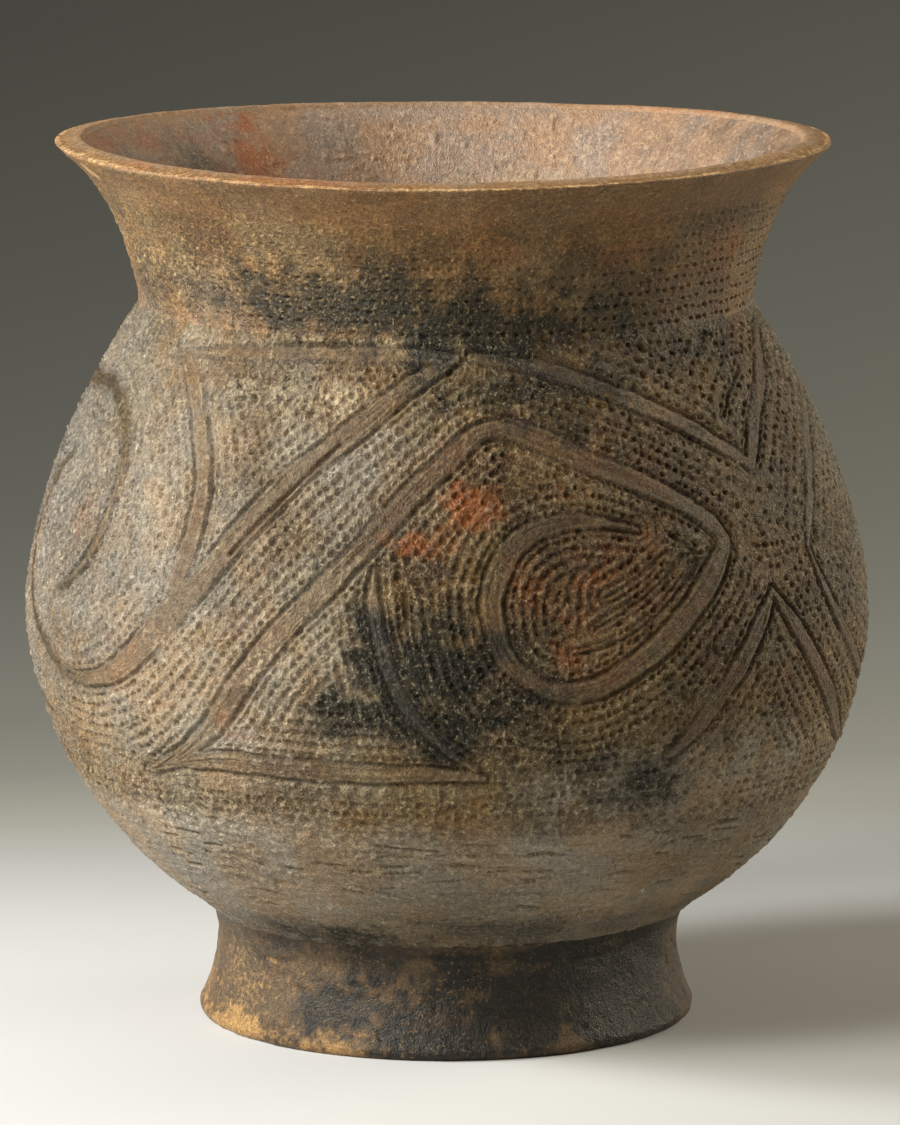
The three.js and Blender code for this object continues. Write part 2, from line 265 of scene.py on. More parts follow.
# Cloudy marks left by the fire or the ground. Each is an azimuth, a height, a half width in
# degrees, a half height and a strength.
def patches(skin, spots, seed, ragged=1.0):
    noise = 0.45 * lumps(skin, 11, seed) + 0.4 * lumps(skin, 4, seed + 1) + 0.25 * lumps(skin, 1.8, seed + 2)
    noise *= ragged
    total = np.zeros_like(skin["relief"])
    for azimuth, height, half_width, half_height, strength in spots:
        aside = (degrees_round - azimuth + 180) % 360 - 180
        reach = np.hypot(aside / half_width, (skin["z"] - height) / half_height)
        near = strength * np.clip(1.15 - 0.75 * reach + noise, 0, 1) * np.clip(3 - 1.6 * reach, 0, 1)
        total = np.maximum(total, near)
    return total


# Gives a worked surface the pot's hand-made lean, its out-of-round turn and its dipping rim.
# The foot stands true, and so does what lies near the axis.
true_height = 30
true_radius = 40
dip_start = 215
dip_height = 50
lean_heights = (0, 30, 60, 126, 200, 267)
lean_aside = (0.0, 0.3, 1.1, 0.0, -0.4, -1.2)
rim_dip = 1.1


def worked(skin):
    radius = skin["radius"] + skin["relief"] * skin["out"]
    height = skin["z"] + skin["relief"] * skin["lift"]
    fullness = np.clip(skin["z"] / true_height, 0, 1) * np.clip(radius / true_radius, 0, 1)
    radius = radius + fullness * (0.25 * np.cos(2 * turns + 0.6) + 0.3 * np.cos(3 * turns + 2.1))
    rise = np.clip((skin["z"] - dip_start) / dip_height, 0, 1)
    height = height - rise**2 * rim_dip * np.cos(2 * turns) * np.clip(radius / true_radius, 0, 1)
    aside = np.interp(skin["z"], lean_heights, lean_aside)
    rows = {"x": radius * np.sin(turns) + aside, "y": -radius * np.cos(turns), "z": height}
    for mask in masks:
        rows[mask] = skin[mask]
    return rows


def rows_of(rows, first, last):
    step = 1 if last >= first else -1
    order = np.arange(first, last + step, step)
    return {name: values[order] for name, values in rows.items()}


# Rows between two rows, without them, for a face that is flat or hidden
def rows_between(near, far, count):
    share = (np.arange(1, count + 1) / (count + 1))[:, None]
    return {name: near[name] * (1 - share) + far[name] * share for name in near}


def joined(*runs):
    return {name: np.concatenate([run[name] for run in runs]) for name in runs[0]}


# Mesh of rows of points round the axis. It closes on itself, or ends in a point at each end.
def turned_mesh(name, rows, sharp_rows, pointed=False):
    count = len(rows["x"])
    places = np.stack([rows["x"], rows["y"], rows["z"]], axis=-1).astype(np.float64)
    gaps = np.linalg.norm(np.diff(places, axis=0), axis=-1).mean(axis=1)
    run = np.concatenate([[0], np.cumsum(gaps)])
    steps = count - 1 if pointed else count
    closing = 0 if pointed else np.linalg.norm(places[-1] - places[0], axis=-1).mean()
    length = run[-1] + closing
    low = np.repeat(np.arange(steps), columns)
    high = (low + 1) % count
    left = np.tile(np.arange(columns), steps)
    right = (left + 1) % columns
    corners = [low * columns + left, low * columns + right, high * columns + right, high * columns + left]
    corner_list = np.stack(corners, 1).reshape(-1)
    high_run = np.where(high > low, run[high], length)
    across = np.stack([left, left + 1, left + 1, left], 1) / columns
    level = np.stack([run[low], run[low], high_run, high_run], 1) / length
    flat = np.stack([across.reshape(-1), level.reshape(-1)], 1)
    sizes = np.full(steps * columns, 4)
    vertices = places.reshape(-1, 3)
    if pointed:
        vertices = np.concatenate([vertices, places[0].mean(axis=0)[None], places[-1].mean(axis=0)[None]])
        around = np.arange(columns)
        after = (around + 1) % columns
        top = (count - 1) * columns
        bottom_tip = np.stack([after, around, np.full(columns, count * columns)], 1)
        top_tip = np.stack([top + around, top + after, np.full(columns, count * columns + 1)], 1)
        corner_list = np.concatenate([corner_list, bottom_tip.reshape(-1), top_tip.reshape(-1)])
        sizes = np.concatenate([sizes, np.full(2 * columns, 3)])
        middle = (around + 0.5) / columns
        for sides, tip_level in (((around + 1, around), 0.0), ((around, around + 1), 1.0)):
            across = np.stack([sides[0] / columns, sides[1] / columns, middle], 1)
            flat = np.concatenate([flat, np.stack([across.reshape(-1), np.full(3 * columns, tip_level)], 1)])
    mesh = bpy.data.meshes.new(name)
    mesh.vertices.add(len(vertices))
    mesh.vertices.foreach_set("co", (vertices * 0.001).reshape(-1).astype(np.float32))
    mesh.loops.add(len(corner_list))
    mesh.loops.foreach_set("vertex_index", corner_list.astype(np.int32))
    mesh.polygons.add(len(sizes))
    starts = np.concatenate([[0], np.cumsum(sizes)[:-1]])
    mesh.polygons.foreach_set("loop_start", starts.astype(np.int32))
    mesh.update(calc_edges=True)
    mesh.polygons.foreach_set("use_smooth", np.ones(len(sizes), bool))
    margin = 0.004
    flat_map = mesh.uv_layers.new(name="OFBake")
    flat_map.data.foreach_set("uv", (margin + flat * (1 - 2 * margin)).reshape(-1).astype(np.float32))
    for mask in masks:
        values = rows[mask].reshape(-1)
        if pointed:
            values = np.concatenate([values, [rows[mask][0].mean(), rows[mask][-1].mean()]])
        layer = mesh.attributes.new(mask, "FLOAT", "POINT")
        layer.data.foreach_set("value", np.clip(values, 0, 1).astype(np.float32))
    ends = np.empty(2 * len(mesh.edges), np.int32)
    mesh.edges.foreach_get("vertices", ends)
    edge_rows = (ends // columns).reshape(-1, 2)
    sharp = (edge_rows[:, 0] == edge_rows[:, 1]) & np.isin(edge_rows[:, 0], sharp_rows)
    edge_layer = mesh.attributes.new("sharp_edge", "BOOLEAN", "EDGE")
    edge_layer.data.foreach_set("value", sharp)
    piece = bpy.data.objects.new(name, mesh)
    scene.collection.objects.link(piece)
    return piece


# Small dents and raised grains of coarse clay, felt all over
def roughened(skin, seed, amount):
    skin["relief"] += amount * (0.10 * lumps(skin, 1.3, seed) + 0.12 * lumps(skin, 2.6, seed + 1)
                                + 0.14 * lumps(skin, 6, seed + 2))


# Thin crests that wind about where wet clay was thrown up, from 0 to 1
def crests(skin, size, seed, flatness=1.0, width=0.2):
    return np.clip(1 - np.abs(lumps(skin, size, seed, flatness)) / width, 0, 1)


# Short scratches or cracks along the turn. Each is two azimuths, two heights and a depth.
def scored(skin, lines, half_width, seed):
    wander = 0.5 * lumps(skin, 5, seed) + 0.25 * lumps(skin, 1.8, seed + 1)
    for start, end, start_height, end_height, depth in lines:
        middle = (start + end) / 2
        along = ((degrees_round - middle + 180) % 360 - 180) / (end - start) * 2
        rows = np.abs(skin["z"][:, 0] - (start_height + end_height) / 2) < 4 + abs(end_height - start_height)
        columns_near = np.abs(along[0]) < 1.1
        window = np.ix_(rows, columns_near)
        along = along[:, columns_near]
        height = start_height + (along + 1) / 2 * (end_height - start_height)
        fade = np.clip(4 * (1.05 - np.abs(along)), 0, 1)
        near = np.exp(-(((skin["z"][window] - height + wander[window]) / half_width) ** 2)) * fade
        skin["relief"][window] -= depth * near
        # The crack is marked for painted shade, which darkens its colour
        skin["press"][window] = np.maximum(skin["press"][window], near)


foot_join = (foot_join_radius, foot_join_height)
foot_line = even_line(
    np.concatenate([
        bezier((foot_base_radius, 0), (74.7, 0.1), (75.5, 1.2), (foot_radius, foot_edge_height), 20),
        bezier((foot_radius, foot_edge_height), (70.3, 11.5), (69.4, 26), foot_join)[1:],
    ]),
    outside_step,
)
foot_skin = turned_skin(foot_line)
roughened(foot_skin, 11, 0.8)
foot_skin["relief"] += 0.55 * lumps(foot_skin, 24, 15) + 0.25 * lumps(foot_skin, 9, 16, 2.0)
foot_skin["relief"] -= 0.22 * np.clip(lumps(foot_skin, 3.4, 17) - 0.45, 0, 1) * 4
foot_chips = ((-62, 2, 2.5, 4, 1), (-49, 1, 3, 2.5, 0.8), (-75, 12, 2, 3, 0.6), (38, 1, 4, 2, 0.6))
foot_skin["relief"] -= 1.2 * patches(foot_skin, foot_chips, 18)
scored(foot_skin, ((-54, -40, 24, 25.5, 0.35), (-12, 22, 31, 30.5, 0.3), (30, 52, 27, 29, 0.25)), 0.8, 21)
foot_end = foot_skin["run"][-1] - foot_skin["run"]
foot_skin["relief"] += 1.5 * np.clip(1 - foot_end / 9, 0, 1)[:, None] ** 2
foot_skin["relief"] *= np.clip(foot_skin["run"] / 3, 0, 1)[:, None]
foot_skin["burnish"] = np.clip(0.45 + 0.5 * lumps(foot_skin, 14, 24), 0, 1)
foot_wear = 0.25 + 0.9 * lumps(foot_skin, 3.0, 25) + 0.5 * lumps(foot_skin, 1.2, 26)
foot_skin["worn"] = np.clip(foot_wear, 0, 1) * 0.5
foot_skin["smoke"] = patches(foot_skin, (
    (14, 14, 44, 19, 1.25), (46, 16, 30, 24, 1.5), (60, 30, 30, 10, 0.8), (-20, 32, 45, 7, 0.75),
    (75, 20, 26, 18, 0.5), (70, 16, 24, 22, 0.6), (140, 15, 40, 16, 0.8), (-150, 25, 25, 12, 0.6)), 28)
foot_skin["blush"] = patches(foot_skin, ((55, 9, 5, 5, 0.6), (-30, 3, 14, 4, 0.35),
(-95, 12, 12, 9, 0.3)), 31)
foot_skin["buff"] = patches(foot_skin, (
    (-52, 3, 26, 5, 0.75), (-30, 3, 24, 4, 0.7), (-60, 16, 22, 12, 0.3), (-46, 24.6, 8, 1.0, 0.45),
    (-95, 8, 18, 8, 0.4), (-178, 8, 30, 8, 0.4)), 34)
foot_outer = worked(foot_skin)
underside_line = bezier(
    (0, bowl_bottom_height),
    (32, bowl_bottom_height), moved(foot_join, foot_join_slope, -foot_join_run), foot_join
)


def underside_at(radius):
    return (radius, float(np.interp(radius, underside_line[:, 0], underside_line[:, 1])))


seat_inner = underside_at(foot_join_radius - foot_thickness)
foot_inner_waist = (foot_waist_radius - foot_thickness, foot_waist_height)
foot_inner_line = even_line(
    [seat_inner, foot_inner_waist, (64.4, 1.5), (64.6, 0.6), (65.1, 0.15), (65.9, 0.0)], inside_step
)
foot_inside = turned_skin(foot_inner_line)
roughened(foot_inside, 37, 1.0)
foot_inside["relief"] *= np.clip((foot_inside["run"][-1] - foot_inside["run"]) / 3, 0, 1)[:, None]
foot_inside["pale"] += 0.4
foot_inside["smoke"] += 0.3
foot_inner = worked(foot_inside)
seat_rows = rows_between(rows_of(foot_outer, -1, -1), rows_of(foot_inner, 0, 0), 3)
foot_bottom = rows_between(rows_of(foot_inner, -1, -1), rows_of(foot_outer, 0, 0), 6)
foot_loop = joined(foot_outer, seat_rows, foot_inner, foot_bottom)
foot_rows = len(foot_outer["x"])
ring_foot = turned_mesh("ring_foot_clay", foot_loop, [foot_rows - 1, foot_rows + 3])
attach(ring_foot, "root")
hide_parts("ring_foot")

# Fired clay: low-fired brown earthenware with coarse temper. One set of nodes works out its
# colour, roughness and height from the marks on each mesh; every part has its own values.
fired_clay = bpy.data.node_groups.new("fired_clay", "ShaderNodeTree")
clay_colours = ("Clay", "Deep", "Rubbed", "Dust and painted light", "Soot", "Blush", "Pale")
for socket in clay_colours:
    fired_clay.interface.new_socket(socket, in_out="INPUT", socket_type="NodeSocketColor")
for socket in ("Roughness", "Dust and light strength"):
    fired_clay.interface.new_socket(socket, in_out="INPUT", socket_type="NodeSocketFloat")
fired_clay.interface.new_socket("Colour", in_out="OUTPUT", socket_type="NodeSocketColor")
for socket in ("Roughness", "Height"):
    fired_clay.interface.new_socket(socket, in_out="OUTPUT", socket_type="NodeSocketFloat")
group_nodes = fired_clay.nodes
group_links = fired_clay.links
group_in = group_nodes.new("NodeGroupInput")
group_out = group_nodes.new("NodeGroupOutput")
group_place = group_nodes.new("ShaderNodeTexCoord")


def grain(scale, detail, squash=1.0):
    noise = group_nodes.new("ShaderNodeTexNoise")
    noise.inputs["Scale"].default_value = scale
    noise.inputs["Detail"].default_value = detail
    noise.inputs["Roughness"].default_value = 0.6
    stretch = group_nodes.new("ShaderNodeMapping")
    stretch.inputs["Scale"].default_value = (1, 1, squash)
    group_links.new(group_place.outputs["Object"], stretch.inputs["Vector"])
    group_links.new(stretch.outputs["Vector"], noise.inputs["Vector"])
    return noise.outputs["Fac"]


def calculated(operation, first, second=None, third=None):
    node = group_nodes.new("ShaderNodeMath")
    node.operation = operation
    for slot, value in zip(node.inputs, (first, second, third)):
        if value is None:
            continue
        if isinstance(value, (int, float)):
            slot.default_value = value
        else:
            group_links.new(value, slot)
    return node.outputs["Value"]


def times(first, second):
    return calculated("MULTIPLY", first, second)


def plus(first, second):
    return calculated("ADD", first, second)


def scaled(value, share, more):
    return calculated("MULTIPLY_ADD", value, share, more)


def spread(value, low, high, to_low=0.0, to_high=1.0):
    node = group_nodes.new("ShaderNodeMapRange")
    node.interpolation_type = "SMOOTHSTEP"
    node.inputs["From Min"].default_value = low
    node.inputs["From Max"].default_value = high
    node.inputs["To Min"].default_value = to_low
    node.inputs["To Max"].default_value = to_high
    group_links.new(value, node.inputs["Value"])
    return node.outputs["Result"]


def blended(share, first, second, kind="MIX"):
    node = group_nodes.new("ShaderNodeMix")
    node.data_type = "RGBA"
    node.blend_type = kind
    colours = [slot for slot in node.inputs if slot.type == "RGBA"]
    for slot, value in ((node.inputs[0], share), (colours[0], first), (colours[1], second)):
        if isinstance(value, (int, float, tuple)):
            slot.default_value = value
        else:
            group_links.new(value, slot)
    return [slot for slot in node.outputs if slot.type == "RGBA"][0]


def mark(name):
    node = group_nodes.new("ShaderNodeAttribute")
    node.attribute_name = name
    return node.outputs["Fac"]


# Grains are by scale and detail: the larger the scale, the finer the grain.
broad = grain(24, 4)
middling = grain(110, 5)
gritty = grain(620, 4)
sandy = grain(1700, 3)
wrinkled = grain(560, 2)
warmth = grain(46, 6)
flecked = grain(950, 1)
streaky = grain(260, 4, 5.0)
# Colour: the clay's two tones, then crust and ash, rubbed bands, blushes, soot, and dust on top. Some of
# these are partly painted light and shade: the pale low on the wall, the ash on the far left, and the dust
# on raised grains, the lip's edge and the lower inside
colour = blended(spread(broad, 0.4, 0.62), group_in.outputs["Clay"], group_in.outputs["Deep"])
colour = blended(times(spread(middling, 0.45, 0.68), 0.6), colour, group_in.outputs["Deep"])
colour = blended(mark("pale"), colour, group_in.outputs["Pale"])
cool_grey = (0.94, 1.0, 1.08, 1)
red_brown = (1.12, 0.98, 0.82, 1)
colour = blended(1.0, colour, blended(spread(warmth, 0.4, 0.6), cool_grey, red_brown), "MULTIPLY")
# The ash tint is partly painted shade on the far left
ash_and_shade_tint = (0.36, 0.385, 0.43, 1)
ash = blended(1.0, group_in.outputs["Pale"], ash_and_shade_tint, "MULTIPLY")
ash_and_shade_share = times(mark("ash"), spread(middling, 0.3, 0.6, 0.55, 1.0))
colour = blended(ash_and_shade_share, colour, ash)
rubbed = times(mark("burnish"), spread(streaky, 0.2, 0.6, 0.6, 1.0))
rubbed_share = times(rubbed, spread(broad, 0.35, 0.65, 0.6, 1.0))
colour = blended(rubbed_share, colour, group_in.outputs["Rubbed"])
blush = spread(plus(mark("blush"), scaled(middling, 0.8, -0.4)), 0.05, 1.0)
colour = blended(times(blush, 0.85), colour, group_in.outputs["Blush"])
soot = spread(plus(mark("smoke"), scaled(middling, 0.6, -0.3)), 0.05, 0.95)
colour = blended(times(soot, 0.95), colour, group_in.outputs["Soot"])
# The dust layer also carries painted highlights on raised grains and painted light on the lower inside
dust_and_light_share = times(mark("worn"), spread(gritty, 0.4, 0.62, 0.35, 1.0))
dust_and_light_share = times(dust_and_light_share, group_in.outputs["Dust and light strength"])
dust_and_light_share = times(dust_and_light_share, spread(middling, 0.38, 0.62, 0.35, 1.25))
# The buff mask holds crust, and also painted light on the lip's edge and the lower inside
crust_and_light = spread(plus(mark("buff"), scaled(gritty, 1.1, -0.55)), 0.15, 0.7)
dust_and_light_share = calculated("MAXIMUM", dust_and_light_share, times(crust_and_light, 0.9))
dust_and_light_share = times(dust_and_light_share, scaled(soot, -0.8, 1.0))
flecks = times(spread(flecked, 0.6, 0.68), scaled(mark("burnish"), -0.35, 0.4))
dust_and_light_share = calculated("MAXIMUM", dust_and_light_share, flecks)
golden = (0.98, 0.88, 0.66, 1)
golden_dust = blended(1.0, group_in.outputs["Dust and painted light"], golden, "MULTIPLY")
white_share = times(spread(mark("pale"), 0.0, 0.7), scaled(crust_and_light, -0.7, 1.0))
dust_and_light = blended(white_share, golden_dust, group_in.outputs["Dust and painted light"])
colour = blended(dust_and_light_share, colour, dust_and_light)
# Shade: the grain's tone varies at random, fine crests get a painted highlight, and hollows, grooves and
# cracks get painted shade
fine_crest = spread(calculated("ABSOLUTE", calculated("SUBTRACT", wrinkled, 0.5)), 0.0, 0.07, 1.0, 0.0)
grain_and_painted_shade = scaled(fine_crest, 0.14, spread(gritty, 0.3, 0.7, 0.66, 1.16))
grain_and_painted_shade = times(grain_and_painted_shade, spread(sandy, 0.3, 0.7, 0.65, 1.35))
grain_and_painted_shade = times(grain_and_painted_shade, scaled(mark("press"), -0.32, 1.0))
evenness = times(mark("pale"), 0.4)
grain_and_painted_shade = scaled(grain_and_painted_shade, calculated("SUBTRACT", 1.0, evenness), evenness)
level = group_nodes.new("ShaderNodeCombineColor")
for slot in level.inputs:
    if slot.name in ("Red", "Green", "Blue"):
        group_links.new(grain_and_painted_shade, slot)
colour = blended(1.0, colour, level.outputs["Color"], "MULTIPLY")
group_links.new(colour, group_out.inputs["Colour"])
# Roughness and the height of the grain
dullness = scaled(rubbed, 0.06, group_in.outputs["Roughness"])
dullness = plus(dullness, scaled(gritty, 0.9, -0.45))
dullness = plus(dullness, times(mark("press"), 0.15))
dullness = plus(dullness, times(soot, -0.1))
dullness = calculated("MAXIMUM", dullness, 0.2)
group_links.new(calculated("MINIMUM", dullness, 0.95), group_out.inputs["Roughness"])
surface = plus(times(gritty, 0.5), times(sandy, 0.75))
surface = plus(surface, times(fine_crest, 0.1))
surface = times(surface, scaled(mark("burnish"), -0.55, 1.0))
group_links.new(surface, group_out.inputs["Height"])


def screen_colour(red, green, blue):
    return tuple(((value / 255 + 0.055) / 1.055) ** 2.4 for value in (red, green, blue)) + (1,)


def clay_material(name, colours, roughness, dustiness, grain_height):
    material = bpy.data.materials.new(name)
    material.use_nodes = True
    nodes = material.node_tree.nodes
    links = material.node_tree.links
    shader = nodes["Principled BSDF"]
    shader.inputs["Specular IOR Level"].default_value = 0.36
    clay = nodes.new("ShaderNodeGroup")
    clay.node_tree = fired_clay
    for socket, value in zip(clay_colours, colours):
        clay.inputs[socket].default_value = screen_colour(*value)
    clay.inputs["Roughness"].default_value = roughness
    clay.inputs["Dust and light strength"].default_value = dustiness
    bump = nodes.new("ShaderNodeBump")
    bump.inputs["Distance"].default_value = grain_height
    links.new(clay.outputs["Height"], bump.inputs["Height"])
    links.new(bump.outputs["Normal"], shader.inputs["Normal"])
    links.new(clay.outputs["Colour"], shader.inputs["Base Color"])
    links.new(clay.outputs["Roughness"], shader.inputs["Roughness"])
    return material


foot_clay = clay_material(
    "foot_clay",
    ((96, 76, 50), (60, 48, 32), (84, 65, 42), (166, 136, 94), (22, 22, 14), (126, 78, 40), (92, 80, 60)),
    0.45, 0.4, 0.0009,
)
ring_foot.data.materials.append(foot_clay)

# Luting coil: a thin coil of wet clay pressed with a fingertip into the inside corner between
# the foot and the bowl, to hold the two together. It is only seen from below.
coil_leg = 7.0
coil_hollow = 0.35
coil_inner = underside_at(seat_inner[0] - coil_leg)
coil_seat = even_line([seat_inner, underside_at(seat_inner[0] - coil_leg / 2), coil_inner], inside_step)
foot_face = np.subtract(foot_inner_waist, seat_inner)
coil_down = tuple(np.add(seat_inner, foot_face * coil_leg / np.hypot(*foot_face)))
coil_middle = np.add(coil_inner, coil_down) / 2
coil_bend = tuple(coil_middle + (np.array(seat_inner) - coil_middle) * coil_hollow)
coil_face = even_line(bezier(coil_inner, coil_bend, coil_bend, coil_down, 40), inside_step * 0.7)
coil_skin = turned_skin(coil_face)
finger_turns = 26
coil_skin["relief"] -= 0.5 + 0.35 * np.cos(finger_turns * turns + 0.8 * np.sin(3 * turns)) * np.sin(
    np.linspace(0, math.pi, len(coil_face)))[:, None]
roughened(coil_skin, 41, 0.8)
coil_skin["worn"] += 0.2
coil_front = worked(coil_skin)
coil_back = worked(turned_skin(even_line([coil_down, seat_inner], inside_step)))
coil_top = worked(turned_skin(coil_seat))
coil_rows = joined(coil_front, rows_of(coil_back, 1, len(coil_back["x"]) - 1),
                   rows_of(coil_top, 1, len(coil_top["x"]) - 2))
luting_coil = turned_mesh("foot_luting_coil_clay", coil_rows, [0, len(coil_face) - 1])
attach(luting_coil, "root")
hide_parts("foot_luting_coil")
luting_coil.data.materials.append(foot_clay)

# Body: a round-bottomed bowl carried up with four broad straps of clay, bevelled, luted and
# smoothed over at their joints. Before firing, S-spirals and slanting bands were marked out
# with pairs of grooves and rubbed smooth, and the field between was dented with rows of dots.
belly = (127.6, 126.0)
neck_crease = (92.2, 218.5)
mouth_edge = (116.6, 265.5)
shoulder_slope = math.radians(55.3)
neck_slope = math.radians(80.4)
mouth_slope = math.radians(53.1)
base_thickness = 8.0
wall_thickness = 6.5
neck_thickness = 6.2
scarf_rise = 6.0
joint_heights = {
    "base": 64.0, "lower": 104.0, "belly": 146.0, "shoulder": 184.0, "neck": 215.5, "lip": 250.0,
}
wall_curves = (
    bezier(foot_join, moved(foot_join, foot_join_slope, foot_join_run), (127.6, 88.4), belly),
    bezier(belly, (127.6, 141.2), moved(neck_crease, math.pi - shoulder_slope, -49.6), neck_crease),
    bezier(neck_crease, moved(neck_crease, neck_slope, 37.6),
           moved(mouth_edge, mouth_slope, -5.5), mouth_edge),
)


# Rounds a crease of a line over a given reach, as a wet finger does
def softened(line, crease, reach):
    step = np.hypot(*(line[1, :2] - line[0, :2]))
    away = np.hypot(line[:, 0] - crease[0], line[:, 1] - crease[1])
    width = int(math.ceil(3 * reach / step))
    kernel = np.exp(-0.5 * (np.arange(-width, width + 1) * step / reach) ** 2)
    kernel /= kernel.sum()
    padded = np.pad(line, ((width, width), (0, 0)), mode="edge")
    smooth = np.stack([np.convolve(values, kernel, "valid") for values in padded.T], axis=1)
    share = np.clip(2 - away / (3 * reach), 0, 1)[:, None]
    return line * (1 - share) + smooth * share


def smooth_share(value, low, high):
    share = np.clip((value - low) / (high - low), 0, 1)
    return share * share * (3 - 2 * share)


# The inside: every point of the outside moved in through the clay, square to it. The third
# value is the height of the outside that it came from.
def inner_line():
    points = []
    last_slope = None
    for curve in (underside_line,) + wall_curves:
        slopes = np.gradient(curve, axis=0)
        slopes /= np.hypot(slopes[:, 0], slopes[:, 1])[:, None]
        if curve is wall_curves[2]:
            for turn in np.linspace(0, 1, 9)[1:-1]:
                slope = last_slope * (1 - turn) + slopes[0] * turn
                points.append(np.concatenate([curve[0], slope / np.hypot(*slope)]))
        points += list(np.concatenate([curve, slopes], axis=1))
        last_slope = slopes[-1]
    points = np.array(points)
    heights = points[:, 1]
    to_wall = smooth_share(heights, bowl_bottom_height, joint_heights["base"])
    depth = base_thickness + (wall_thickness - base_thickness) * to_wall
    to_neck = smooth_share(heights, joint_heights["shoulder"], neck_crease[1])
    depth = depth + (neck_thickness - depth) * to_neck
    pushed = [points[:, 0] - points[:, 3] * depth, points[:, 1] + points[:, 2] * depth, heights]
    inside = np.stack(pushed, axis=1)
    return inside[np.concatenate([[True], np.hypot(*np.diff(inside[:, :2], axis=0).T) > 1e-6])]


crease_reach = 1.6
whole_wall = np.concatenate([wall_curves[0], wall_curves[1][1:], wall_curves[2][1:]])
wall_line = softened(even_line(whole_wall, outside_step), neck_crease, crease_reach)
wall = turned_skin(wall_line)
wall_rows = len(wall_line)


def run_at(height):
    return np.interp(height, wall_line[:, 1], wall["run"])


def radius_at(run):
    return np.interp(run, wall["run"], wall_line[:, 0])


